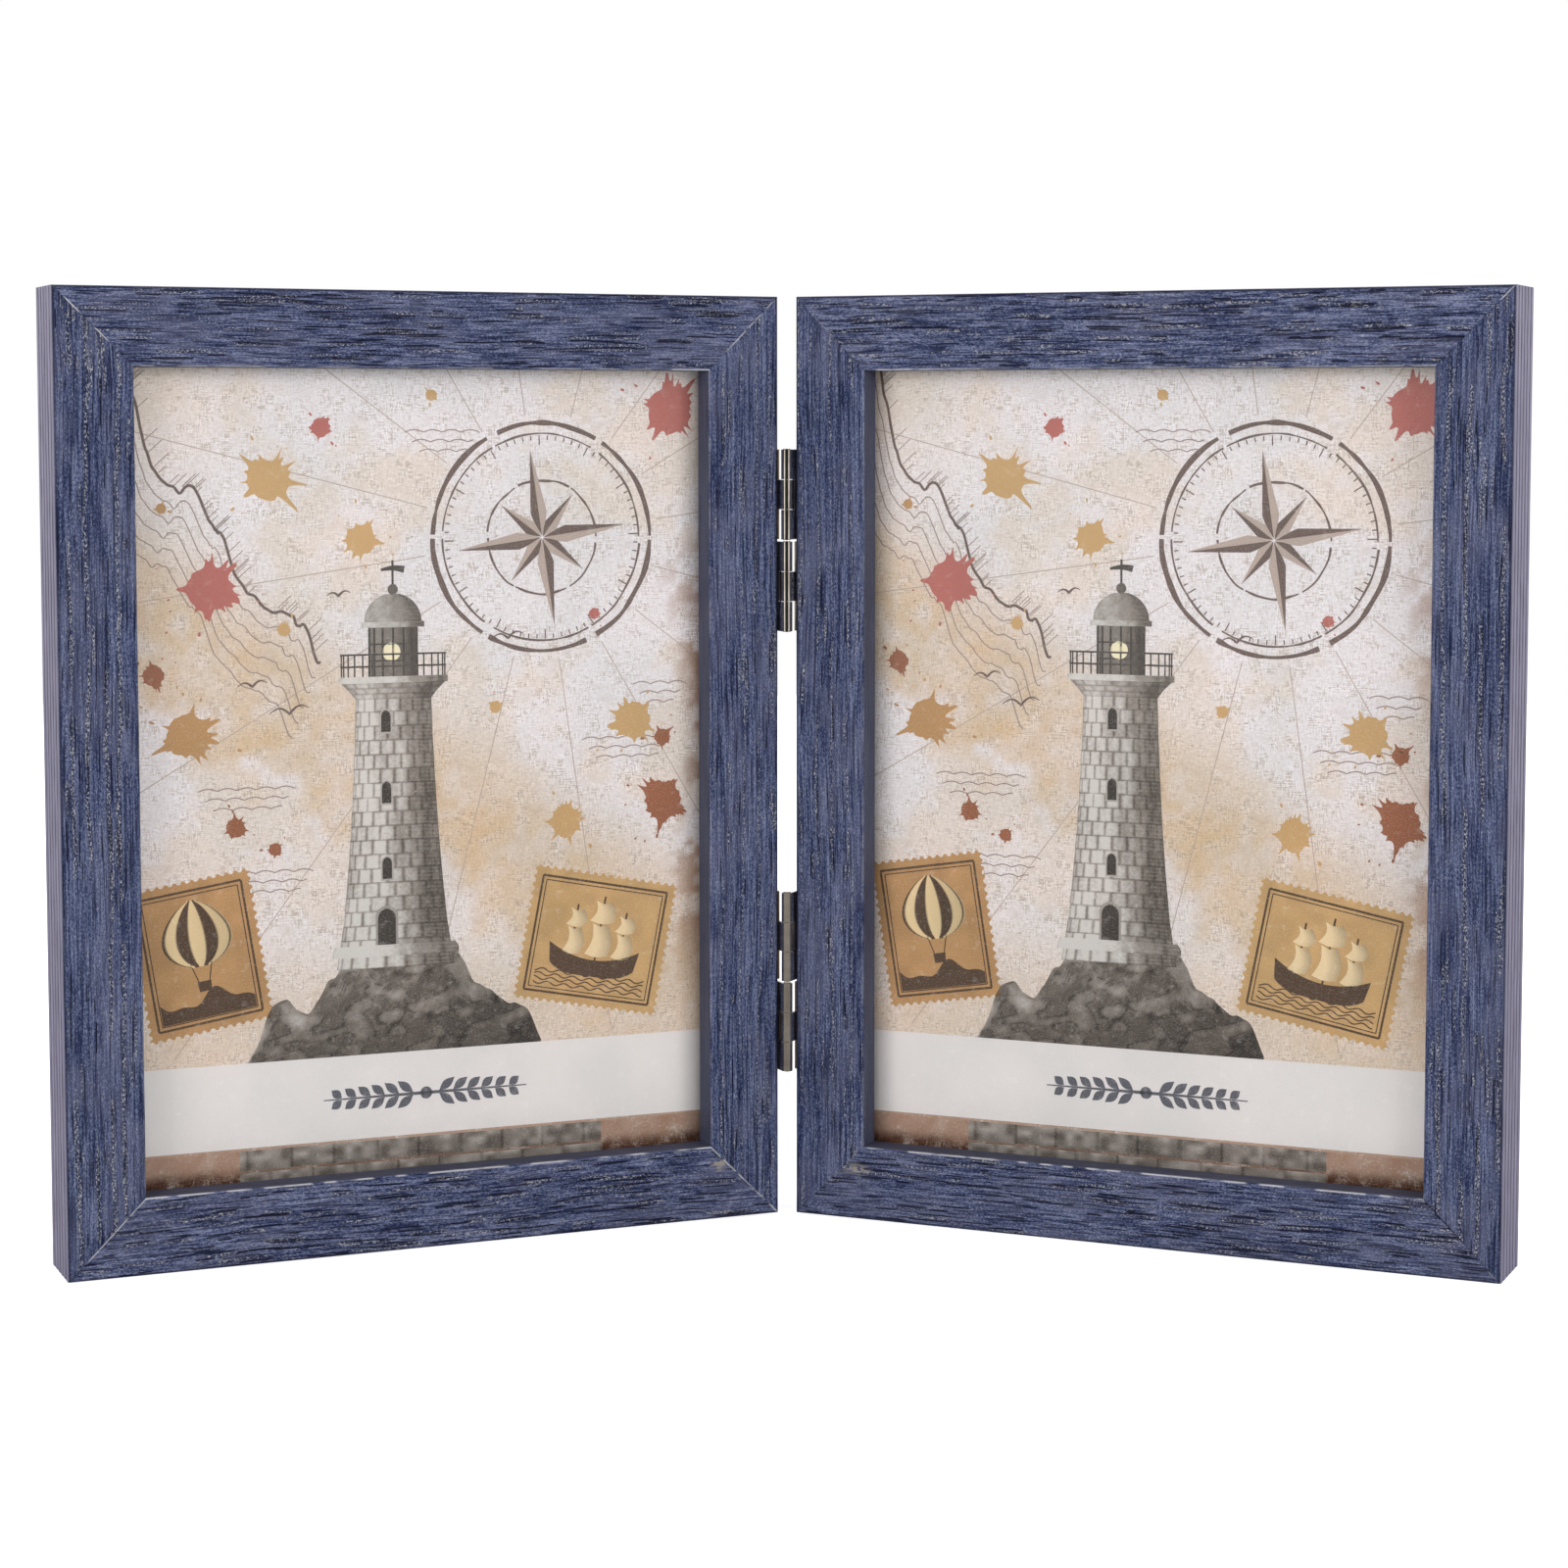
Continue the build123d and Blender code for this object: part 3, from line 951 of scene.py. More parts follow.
    def slits(self, s: np.ndarray, along: np.ndarray) -> tuple[np.ndarray, np.ndarray]:
        """Long narrow slits in the film, and the rows of pale flecks that run beside them.

        Formula: for each slit, a bell across it times an ease to nothing at both ends, and the most of all
        slits. A row of flecks is a wider bell to one side of its slit. An upright also has four long rows,
        which wander as they rise and fade in and out.

        Args:
            s: Place across the grain, in millimetres.
            along: Place along the grain, in millimetres, of the same shape.

        Returns:
            The slits and the rows, each from 0 to 1.
        """
        draw = np.random.default_rng(self.seed)
        upright = self.member.upright
        count = int(self.length * (0.7 if upright else 1.6))
        across = draw.uniform(0.4, self.face - 0.4, count)
        middle = draw.uniform(0, self.length, count)
        half = draw.uniform(1.2, 7.0, count)
        width = draw.uniform(0.11, 0.22, count) * (0.8 if upright else 1.0)
        slant = draw.normal(0, 0.014, count)
        depth = draw.uniform(0.5, 1.0, count)
        side = draw.choice((-0.55, 0.55), count)
        strength = np.clip(draw.uniform(-0.9, 1.0, count), 0, 1)
        slit, row = np.zeros_like(s), np.zeros_like(s)
        for k, home in enumerate((2.4, 6.0, 9.6, 13.6) if upright else ()):
            sway, shake = wander(along / 31, 7 * k, self.seed + 3), wander(along / 4, 7 * k, self.seed + 4)
            centre = home + draw.uniform(-0.9, 0.9) + 1.1 * sway + 0.5 * shake
            shown = smooth_step(0.36, 0.58, lattice_noise(along / 15, 5 * k, self.seed + 6))
            run = bell(s - centre, 0.46) * (0.12 + 0.88 * shown) * self.row_share
            row = np.maximum(row, run)

        # A slit only reaches the sections near it, but at a mitre a section runs as far along as across
        order = np.argsort(along[:, 0])
        spread = self.face + 0.5
        starts = np.searchsorted(along[order, 0], middle - half - spread)
        ends = np.searchsorted(along[order, 0], middle + half + spread)
        for k in range(count):
            rows = order[starts[k]:ends[k]]
            away = s[rows] - across[k] - slant[k] * (along[rows] - middle[k])
            gone = np.abs(along[rows] - middle[k]) / half[k]
            cut = depth[k] * bell(away, width[k]) * smooth_step(1.0, 0.5, gone)
            slit[rows] = np.maximum(slit[rows], cut)
            run = strength[k] * bell(away - side[k], 0.36) * smooth_step(1.2, 0.7, gone)
            row[rows] = np.maximum(row[rows], run)
        return slit, row

    def nail_slots(self, t: np.ndarray, to_end: np.ndarray) -> np.ndarray:
        """Slots in the back over the sunk wedge nails, 1 inside a nail's leg and 0 away from it.

        Formula: each nail has one leg in this moulding, square to the mitre corner, so a slot is the band
        where the distance from the nearer end lies within the nail's thickness and t within its leg.

        Args:
            t: Place across the face, from the outer edge inwards.
            to_end: Distance from the nearer end.

        Returns:
            How deep in a slot each place is, from 0 to 1.
        """
        found = np.zeros_like(t)

        def band(value: np.ndarray, end: float) -> np.ndarray:
            """1 from nought to the end, eased to nothing on both sides."""
            return smooth_step(-0.16, -0.02, value) * smooth_step(0.16, 0.02, value - end)

        for start in (self.nail_inset, self.face - self.overlap - self.nail_inset - self.nail_leg):
            for a, b in ((t, to_end), (to_end, t)):
                inside = band(a - start, self.nail_leg) * band(b - start, self.nail_thick)
                found = np.maximum(found, inside)
        return found

    def build(self) -> bpy.types.Object:
        """Carry the profile along the length, press the grain into it and close the mitres.

        Returns:
            The finished piece, riding on its half and standing for its CAD node.
        """
        section, share = self.profile(), self.stations()[:, None]
        shape = (len(share), len(section))
        t, y = np.broadcast_to(section[:, 0], shape), np.broadcast_to(section[:, 1], shape)
        along = t + share * (self.length - 2 * t)
        to_end = np.minimum(along, self.length - along)
        steps = np.hypot(*np.diff(section, axis=0).T)
        around = np.broadcast_to(np.concatenate([[0], np.cumsum(steps)]), shape)

        # The grain runs along the length and drifts a little round the section
        drift = 1.1 * wander(along / 38, around / 30 + 7, self.seed)
        drift = drift + 0.35 * wander(along / 11, around / 9 + 3, self.seed + 1)
        grain = around + drift

        # Where a point lies: on the front or the back, and how far from the nearer mitre
        front = smooth_step(0.25, 0.0, y) * smooth_step(0.0, 0.3, t)
        back_face = (y > self.depth - 0.01) & (t > 0.4)
        mitre = (along - t) * (share < 0.5) + (self.length - t - along) * (share >= 0.5)
        mitre = np.abs(mitre) / math.sqrt(2)

        # The relief: pores, waves and eased mitres on the front, nail slots and joint lines on the back
        pore, row = self.slits(grain, along)
        pore, row = pore * front, row * front
        waves = lattice_noise(grain * 1.3, along / 24, self.seed + 2)
        ease = bell(mitre, 0.16)
        sink = front * (self.pore_depth * pore + self.wave_depth * waves + self.mitre_ease * ease)
        slots = back_face * self.nail_slots(t, to_end)
        seam = back_face * bell(mitre, 0.10)
        sink = sink - self.nail_sink * slots - self.seam_depth * seam
        points = self.flat_points(t, y + sink, along)

        # The marks that have a colour but no depth
        cut, gap = self.mitre_marks(t, mitre, share < 0.5)
        edge = bell(t - 0.28, 0.22) * (y < 0.62) * (t < 2)
        # Where the outer side takes its painted sheen
        flank = smooth_step(0.9, 0.25, t) * smooth_step(0.15, 0.5, y)
        film_end = self.film_on_back + 0.35 * wander(along / 6, 0, self.seed + 8)
        bare = back_face * smooth_step(-0.1, 0.1, t - film_end)
        bare = bare + (y > self.lip + 0.02) * (t > 1.0) * ~back_face
        surface = Surface()
        rows = surface.add_points(
            points,
            grain=np.stack([grain, along, np.full(t.shape, 0.61 * self.seed)], -1),
            pore=pore,
            row=row,
            # Painted shade in the grooves of the side
            groove=self.groove_at(y, self.groove_shadow) * (t < 0.5),
            edge=np.clip(0.75 * edge + gap * front, 0, 0.92),
            # The painted sheen on the side and on the film that wraps onto the back
            flank=flank * (y < self.depth - 0.05) + (back_face | (y > self.depth - 0.3)) * 0.8,
            # Cut threads at the mitres, and the arris line that is partly worn film and partly painted
            # highlight
            cut=np.clip(cut * front + self.arris_wear_and_highlight(t, y, along), 0, 0.9),
            worn=self.worn_spot(t, along) * front * 0.62,
            lip=smooth_step(0.25, 0.6, y) * (t > self.face - 0.6) * (y < self.lip + 0.1),
            bare=np.clip(bare, 0, 1),
            # Dark joint lines at the mitres, and painted shade in the nail slots
            joint=np.clip(0.75 * seam + 0.5 * slots, 0, 1),
        )
        surface.add_quads(rows, closed=True)
        surface.add_polygons(rows[0][::-1], rows[-1])
        piece = surface.build(self.name + "_moulding", self.place, sharp=50)
        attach(piece, self.place.hand.body)
        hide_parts(self.name)
        return piece

    def flat_points(self, t: np.ndarray, y: np.ndarray, along: np.ndarray) -> np.ndarray:
        """Place section and length in the flat half: t runs inwards from this member's outer edge.

        Args:
            t: Place across the face, from the outer edge inwards.
            y: Depth behind the front.
            along: Place along the outer edge.

        Returns:
            Flat points in millimetres, of shape (..., 3).
        """
        back = self.front + y
        far_side = self.near_side + self.half_width
        x, z = {
            Member.INNER: (self.near_side + t, along),
            Member.OUTER: (far_side - t, along),
            Member.TOP: (self.near_side + along, self.half_height - t),
            Member.BOTTOM: (self.near_side + along, t),
        }[self.member]
        return np.stack([x, back, z], -1)


@dataclass(frozen=True)
class PaperFinish:
    """Matt printed parchment: the painted tint, mottled, with foxing specks and a fine tooth."""

    name: str = "print_paper"
    stain: tuple = srgb(168, 142, 118)
    bloom: tuple = srgb(238, 235, 236)
    vein: tuple = srgb(160, 134, 112)
    linen: tuple = srgb(156, 136, 118)
    grain: tuple = srgb(146, 118, 94)
    foxing: tuple = srgb(150, 110, 78)

    def make(self) -> bpy.types.Material:
        """Build the material.

        Returns:
            The finished material.
        """
        n = NodeTree(bpy.data.materials.new(self.name))
        sheet = n.attribute("sheet", "Vector")
        tint = n.attribute("tint", "Color")

        # Clouds of stain and bloom, and cracks where the paper is clouded
        mottle = n.noise(n.stretch(sheet, (0.22, 0.22, 1)), detail=5, rough=0.62, warp=0.6)
        grit = n.noise(n.stretch(sheet, (1.7, 1.7, 1), (3, 8, 0)), detail=3, rough=0.7)
        shade = n.weigh((mottle, 0.55), (grit, 0.45))
        stained = n.mix(0.5, tint, self.stain, "MULTIPLY")
        colour = n.mix(n.span(shade, 0.56, 0.34, 0.0, 0.55), tint, stained)
        colour = n.mix(n.span(shade, 0.52, 0.68, 0.0, 0.50), colour, self.bloom)
        crack = n.noise(n.stretch(sheet, (0.5, 0.5, 1), (6, 2, 0)), detail=6, rough=0.75, warp=1.2)
        vein = n.span(n.math("ABSOLUTE", n.minus(crack, 0.5)), 0.018, 0.0, 0.0, 0.42)
        colour = n.mix(n.times(vein, n.span(mottle, 0.45, 0.6)), colour, self.vein)

        # Linen threads and grain, stronger where the print is thin, and single foxed spots
        thin = n.span(mottle, 0.40, 0.62, 0.12, 0.55)
        warp = n.noise(n.stretch(sheet, (0.5, 3.4, 1), (2, 9, 0)), detail=1)
        weft = n.noise(n.stretch(sheet, (3.4, 0.5, 1), (7, 3, 0)), detail=1)
        colour = n.mix(n.times(n.span(n.plus(warp, weft), 0.98, 1.14), thin), colour, self.linen)
        grain = n.noise(n.stretch(sheet, (2.2, 2.2, 1), (5, 5, 0)), detail=2, rough=0.8)
        colour = n.mix(n.times(n.span(grain, 0.54, 0.66), thin), colour, self.grain)
        spots = n.noise(n.stretch(sheet, (0.9, 0.9, 1), (40, 20, 0)), detail=2, rough=0.7)
        colour = n.mix(n.span(spots, 0.68, 0.75, 0.0, 0.6), colour, self.foxing)
        return n.shade(Base_Color=colour, Roughness=n.plus(0.55, n.times(grit, 0.2)),
                       Specular_IOR_Level=0.25, Normal=n.bump(grit, 0.00002, 0.4))


@dataclass(frozen=True)
class InkFinish:
    """Printer's ink: the painted tint, broken up by the grit of the paper."""

    name: str = "print_ink"
    paper: tuple = srgb(255, 250, 244)

    def make(self) -> bpy.types.Material:
        """Build the material.

        Returns:
            The finished material.
        """
        n = NodeTree(bpy.data.materials.new(self.name))
        sheet = n.attribute("sheet", "Vector")
        tint = n.attribute("tint", "Color")
        grit = n.noise(n.stretch(sheet, (2.6, 2.6, 1), (3, 8, 0)), detail=3, rough=0.7)
        worn = n.noise(n.stretch(sheet, (0.4, 0.4, 1), (9, 4, 0)), detail=5, rough=0.7)
        light = n.mix(0.5, tint, self.paper, "SCREEN")
        dark = n.mix(0.6, tint, tint, "MULTIPLY")
        colour = n.mix(n.span(grit, 0.52, 0.72, 0.0, 0.32), tint, light)
        colour = n.mix(n.span(grit, 0.46, 0.30, 0.0, 0.35), colour, dark)
        colour = n.mix(n.span(worn, 0.55, 0.72, 0.0, 0.28), colour, light)
        return n.shade(Base_Color=colour, Roughness=n.plus(0.5, n.times(grit, 0.2)),
                       Specular_IOR_Level=0.25, Normal=n.bump(grit, 0.00002, 0.3))


@dataclass(frozen=True)
class Sheet:
    """Where the printed sheet lies.

    Sheet coordinates: px runs right from the left side of the sight opening as the viewer sees it, and pz up
    from its lower side, so that both halves hold the same print.
    """

    place: HalfPlace
    opening: tuple = (127.0, 173.5)
    opening_start: tuple = (17.75, 16.5)
    tuck: float = 3.0
    paper_front: float = 10.68
    paper_back: float = 10.9
    ink_step: float = 0.005
    ink_root: float = 0.01

    def flat(self, px: np.ndarray, pz: np.ndarray, back: np.ndarray | float) -> np.ndarray:
        """Put sheet coordinates and a depth into the flat half.

        Args:
            px, pz: Places across and up the sheet.
            back: Places along y in the flat half.

        Returns:
            Flat points in millimetres, of shape (..., 3).
        """
        start, low = self.opening_start
        x = start + px if self.place.hand is Hand.RIGHT else start + self.opening[0] - px
        return np.stack(np.broadcast_arrays(x, back, low + pz), -1)


@dataclass
class Paper:
    """The printed card itself, with its washes and stains painted by formula."""

    sheet: Sheet
    step: float = 1.0
    bright: tuple = srgb(229, 224, 227)
    warm: tuple = srgb(225, 211, 200)
    ochre: tuple = srgb(208, 178, 138)
    brown: tuple = srgb(158, 112, 82)
    clay: tuple = srgb(156, 116, 96)
    umber: tuple = srgb(74, 42, 28)

    def tint(self, px: np.ndarray, pz: np.ndarray) -> np.ndarray:
        """Paint the washes.

        Formula: each wash is a colour whose share comes from the distance to a line or an edge, made uneven
        by lattice noise, and the washes are laid one over another.

        Args:
            px: Place across the sheet.
            pz: Place up the sheet.

        Returns:
            Linear colours of shape (..., 4).
        """
        cloud = 0.6 * lattice_noise(px / 21, pz / 21, 3) + 0.4 * lattice_noise(px / 8, pz / 8, 4)
        rag = 0.5 * lattice_noise(px / 5, pz / 5, 5) + 0.5 * lattice_noise(px / 2.2, pz / 2.2, 6)
        drift, fray = cloud - 0.5, rag - 0.5

        def lay(under: np.ndarray, colour: tuple, share: np.ndarray) -> np.ndarray:
            """Blend a wash over what is there."""
            share = np.clip(share, 0, 1)[..., None]
            return under * (1 - share) + np.array(colour) * share

        paint = np.broadcast_to(np.array(self.bright), (*px.shape, 4))
        paint = lay(paint, self.warm, smooth_step(0.42, 0.70, cloud + 0.35 * fray) * 0.75)

        # An ochre streak that falls from the left side to the lower right
        slope = (px - 18) * 0.55 + (pz - 112) * 0.83 + 9 * fray + 8 * drift
        band = smooth_step(-20, -9, slope) * smooth_step(24, 4, slope) * smooth_step(4, 40, px + pz * 0.25)
        paint = lay(paint, self.ochre, band * (0.35 + 0.75 * rag) * 0.85)

        # Warmer towards the foot, with ochre on top
        paint = lay(paint, self.warm, smooth_step(78, 20, pz) * 0.75)
        low = smooth_step(52, 26, pz + 14 * drift)
        paint = lay(paint, self.ochre, low * (0.25 + 0.7 * rag) * 0.6)

        # A brown stain along the right side and a warm one in the upper left corner
        right = smooth_step(9, -1, 127 - px + 9 * drift)
        right = right * smooth_step(30, 60, pz) * smooth_step(150, 110, pz)
        paint = lay(paint, self.brown, right * smooth_step(0.42, 0.62, rag) * 0.8)
        corner = smooth_step(34, 4, np.hypot(px, 173 - pz) + 16 * drift)
        paint = lay(paint, self.warm, corner * 0.7)

        # Earth below the white band
        foot = smooth_step(8.2, 6.4, pz + 1.5 * fray)
        paint = lay(paint, self.clay, foot * (0.60 + 0.4 * rag))
        return lay(paint, self.umber, smooth_step(3.4, 0.2, pz + 1.6 * fray))

    def build(self) -> bpy.types.Object:
        """Carry a closed section, fine in front and plain behind, up the sheet and close both ends.

        Returns:
            The piece, riding on its half and standing for the CAD print.
        """
        sheet = self.sheet
        wide, high = sheet.opening
        across, up = round((wide + 2 * sheet.tuck) / self.step), round((high + 2 * sheet.tuck) / self.step)
        front_x = np.linspace(-sheet.tuck, wide + sheet.tuck, across + 1)
        px = np.concatenate([front_x, front_x[[-1, 0]]])
        back = np.concatenate([np.full(len(front_x), sheet.paper_front), np.full(2, sheet.paper_back)])
        pz = np.linspace(-sheet.tuck, high + sheet.tuck, up + 1)[:, None]
        px, pz, back = np.broadcast_arrays(px, pz, back)
        surface = Surface()
        rows = surface.add_points(sheet.flat(px, pz, back), tint=self.tint(px, pz),
                                  sheet=np.stack([px, pz, 0 * px], -1))
        surface.add_quads(rows, closed=True)
        surface.add_polygons(rows[0][::-1], rows[-1])
        hand = sheet.place.hand
        piece = surface.build(f"{hand.word}_print_paper", sheet.place)
        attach(piece, hand.body)
        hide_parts(f"{hand.word}_print")
        return piece


@dataclass
class Ink:
    """Thin closed plates of ink on the paper, gathered into one piece."""

    sheet: Sheet
    surface: Surface = field(default_factory=Surface)

    def close(self, px: np.ndarray, pz: np.ndarray, rim: np.ndarray, tint: np.ndarray) -> None:
        """Give a plate its edge and back, from a rim that runs anticlockwise.

        Args:
            px, pz: Places of the rim.
            rim: Indices of its front points.
            tint: Linear colours of its points.
        """
        points = self.sheet.flat(px, pz, self.sheet.paper_front + self.sheet.ink_root)
        back = self.surface.add_points(points, tint=tint, sheet=np.stack([px, pz, 0 * px], -1))
        after, behind = np.roll(rim, -1), np.roll(back, -1)
        self.surface.faces.append(np.stack([after, rim, back, behind], -1).tolist())
        self.surface.add_polygons(back[::-1])

    def lay(self, px: np.ndarray, pz: np.ndarray, tint: object, layer: int) -> np.ndarray:
        """Add the front points of a plate.

        Args:
            px, pz: Places across and up the sheet.
            tint: One linear colour, or one for each point.
            layer: How many ink steps it stands on the paper.

        Returns:
            Their indices.
        """
        back = self.sheet.paper_front - layer * self.sheet.ink_step
        tint = np.broadcast_to(np.asarray(tint, float), (*px.shape, 4))
        return self.surface.add_points(self.sheet.flat(px, pz, back), tint=tint,
                                       sheet=np.stack([px, pz, np.full(px.shape, float(layer))], -1))

    def patch(self, px: np.ndarray, pz: np.ndarray, tint: object, layer: int) -> None:
        """Lay a plate that is a grid with four sides.

        Args:
            px: Place across, of shape (m, n).
            pz: Place up, of the same shape.
            tint: One linear colour, or one for each point.
            layer: How many ink steps it stands on the paper.
        """
        px, pz = np.broadcast_arrays(px, pz)
        tint = np.broadcast_to(np.asarray(tint, float), (*px.shape, 4))

        def rim_of(grid: np.ndarray) -> np.ndarray:
            """The outline of a grid, each corner once."""
            return np.concatenate([grid[0, :-1], grid[:-1, -1], grid[-1, :0:-1], grid[:0:-1, 0]])

        x, z = rim_of(px), rim_of(pz)
        if np.sum(x * np.roll(z, -1) - z * np.roll(x, -1)) < 0:
            px, pz, tint = px[:, ::-1], pz[:, ::-1], tint[:, ::-1]
        rows = self.lay(px, pz, tint, layer)
        self.surface.add_quads(rows)
        tints = np.stack([rim_of(tint[..., k]) for k in range(4)], -1)
        self.close(rim_of(px), rim_of(pz), rim_of(rows), tints)

    def disc(self, centre: tuple, radius: np.ndarray, tint: object, layer: int, rings: int = 3) -> None:
        """Lay a round plate whose radius is given at even angles, anticlockwise from the right.

        Args:
            centre: Its middle, across and up the sheet.
            radius: The radii.
            tint: Its linear colour.
            layer: How many ink steps it stands on the paper.
            rings: How many rings of points it has.
        """
        angle = np.linspace(0, 2 * math.pi, len(radius), endpoint=False)
        share = np.linspace(0.3, 1.0, rings)[:, None]
        px = (centre[0] + share * radius * np.cos(angle))[:, ::-1]
        pz = (centre[1] + share * radius * np.sin(angle))[:, ::-1]
        rows = self.lay(px, pz, tint, layer)
        self.surface.add_quads(rows, closed=True)
        self.surface.add_polygons(rows[0][::-1])
        tints = np.broadcast_to(np.array(tint), (len(radius), 4))
        self.close(px[-1][::-1], pz[-1][::-1], rows[-1][::-1], tints)

    def stroke(self, px: np.ndarray, pz: np.ndarray, width: object, tint: object, layer: int) -> None:
        """Lay a line of a width: its points moved half the width to either side, square to the line.

        Args:
            px, pz: The points of the line.
            width: One width, or one for each point.
            tint: One linear colour, or colours as for a patch.
            layer: How many ink steps it stands on the paper.
        """
        run, rise = np.gradient(px), np.gradient(pz)
        size = np.hypot(run, rise) + 1e-9
        half = np.broadcast_to(np.asarray(width, float), px.shape) / 2
        across, up = -rise / size * half, run / size * half
        sides_x, sides_z = np.stack([px - across, px + across], -1), np.stack([pz - up, pz + up], -1)
        self.patch(sides_x, sides_z, tint, layer)

    def bar(self, start: tuple, end: tuple, count: int, width: float, tint: object, layer: int) -> None:
        """Lay a straight line of so many points from one place to another."""
        px, pz = np.linspace(start[0], end[0], count), np.linspace(start[1], end[1], count)
        self.stroke(px, pz, width, tint, layer)

    def build(self, name: str) -> bpy.types.Object:
        """Write the plates into one piece.

        Args:
            name: The piece's name without its hand.

        Returns:
            The piece, riding on its half.
        """
        hand = self.sheet.place.hand
        piece = self.surface.build(f"{hand.word}_{name}", self.sheet.place)
        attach(piece, hand.body)
        return piece


@dataclass(frozen=True)
class Stage:
    """One round stage of the lighthouse.

    The half widths stand at even steps from its foot to its top. The grid is how many rows and columns of
    points it has. The layer counts ink steps on the paper. A course is the height of a row of stones, and
    stones is how strongly they show.
    """

    low: float
    high: float
    half_widths: tuple
    grid: tuple
    layer: int
    course: float
    bright: float = 1.0
    stones: float = 1.0
    seed: int = 50


@dataclass
class SeaChart:
    """The generic design of the print: an old sea chart with a compass rose, a lighthouse and two stamps."""

    sheet: Sheet
    sepia: tuple = srgb(104, 86, 80)
    faint: tuple = srgb(176, 158, 148)
    thin: tuple = srgb(146, 128, 120)
    ochre: tuple = srgb(190, 154, 106)
    tan: tuple = srgb(176, 136, 92)
    red: tuple = srgb(172, 100, 92)
    rust: tuple = srgb(146, 92, 66)
    umber: tuple = srgb(84, 64, 50)
    band: tuple = srgb(219, 213, 211)
    grey: tuple = srgb(92, 92, 100)
    sail: tuple = srgb(224, 200, 160)
    gore: tuple = srgb(222, 196, 152)
    lamp: tuple = srgb(236, 224, 190)
    stones: tuple = (srgb(46, 41, 38), srgb(96, 87, 80), srgb(146, 137, 130), srgb(204, 198, 193))
    rose_at: tuple = (91.0, 137.0)
    rose_lean: float = 8
    tower_at: float = 57.0
    gallery: float = 107.4
    eaves: float = 118.0
    door_sill: float = 49.0

    def rose(self, ink: Ink) -> None:
        """A compass rose: three uneven rings, a ring of ticks and an eight-pointed half-dark star.

        Args:
            ink: The plates that it joins.
        """
        cx, cz = self.rose_at
        angle = np.linspace(0, 2 * math.pi, 181)
        for radius, width, seed in ((25.0, 1.0, 31), (22.6, 0.4, 32), (12.5, 0.45, 33)):
            wobble = 0.35 * wander(angle * 4, 0, seed)
            for part in range(6):
                arc = slice(part * 30, part * 30 + 30 - (part + seed) % 3)
                a, r = angle[arc], radius + wobble[arc]
                uneven = width * (0.6 + 0.8 * lattice_noise(a * 9, 0, seed + 3))
                ink.stroke(cx + r * np.cos(a), cz + r * np.sin(a), uneven, self.sepia, 3)
        for k in range(72):
            a = math.radians(5 * k + 1.5)
            r = np.linspace(20.2 if k % 6 == 0 else 21.3, 22.3, 3)
            ink.stroke(cx + r * math.cos(a), cz + r * math.sin(a), 0.28, self.sepia, 2)
        lean, share = np.linspace(0, 1, 4)[None, :], np.linspace(0, 1, 12)[:, None]
        body = np.where(share < 0.25, share / 0.25, (1 - share) / 0.75) * 0.96 + 0.02
        for k in range(8):
            a = math.radians(45 * k + self.rose_lean)
            reach, waist, layer = (19.5, 3.6, 4) if k % 2 == 0 else (11.8, 3.0, 3)
            along = reach * (0.02 + 0.97 * share)
            for turn, tint in ((1, self.sepia), (-1, self.faint)):
                wide = turn * waist * body * lean * 0.55
                px = cx + along * math.cos(a) - wide * math.sin(a)
                pz = cz + along * math.sin(a) + wide * math.cos(a)
                ink.patch(px, pz, tint, layer)

    def lines(self, ink: Ink) -> None:
        """Faint straight courses from the rose, coast lines with hatching, and groups of waves.

        Args:
            ink: The plates that it joins.
        """
        cx, cz = self.rose_at
        reach = np.linspace(27, 150, 60)
        for k in range(16):
            a = math.radians(22.5 * k + self.rose_lean)
            px, pz = cx + reach * math.cos(a), cz + reach * math.sin(a)
            inside = (px > -2.5) & (px < 129.5) & (pz > 27) & (pz < 176)
            if inside.sum() > 3:
                ink.stroke(px[inside], pz[inside], 0.22, self.faint, 1)

        def coast(run: np.ndarray | float, k: int) -> tuple[np.ndarray, np.ndarray]:
            """One of the lines along the coast: a falling curve, made uneven by lattice noise.

            Args:
                run: Share of the way along it.
                k: Which line it is, counted from the shore.

            Returns:
                Places across and up the sheet.
            """
            x = -2.5 + 44 * run - 1.2 * k + 5 * wander(run * 9, 0.07 * k, 41)
            z = 174 - 62 * run ** 0.8 - 3.2 * k + 9 * wander(run * 11, 0.05 * k, 42)
            return x, z

        run = np.linspace(0, 1, 150)
        for k in range(6):
            x, z = coast(run, k)
            z = z + 1.6 * wander(run * 46, 0.1 * k, 43)
            keep = x > -2.6
            width, tint = (0.62, self.sepia) if k == 0 else (0.26, self.thin)
            ink.stroke(x[keep], z[keep], width, tint, 2)
        draw = np.random.default_rng(7)
        step = np.linspace(0, 1, 4)
        for _ in range(58):
            x, z = coast(draw.uniform(0.03, 0.97), 0)
            size = draw.uniform(1.2, 3.2)
            if x > -1:
                ink.stroke(x + size * step, z + 0.6 + size * 0.9 * step, 0.2, self.thin, 1)
        q = np.linspace(0, 1, 40)
        for x, z, count in ((14, 84, 5), (60, 160, 4), (100, 92, 5), (22, 66, 4), (112, 104, 3)):
            for row in range(3):
                wave_x = x + (count * 4.2 - row * 3) * q + row * 1.6
                wave_z = z - 2.1 * row + 0.55 * np.abs(np.sin(math.pi * (count - row * 0.7) * q))
                ink.stroke(wave_x, wave_z, 0.26, self.thin, 2)

    def splats(self, ink: Ink) -> None:
        """Ink splats: round blots whose radius gains sharp spikes at random angles, with loose drops.

        Args:
            ink: The plates that it joins.
        """
        draw = np.random.default_rng(19)

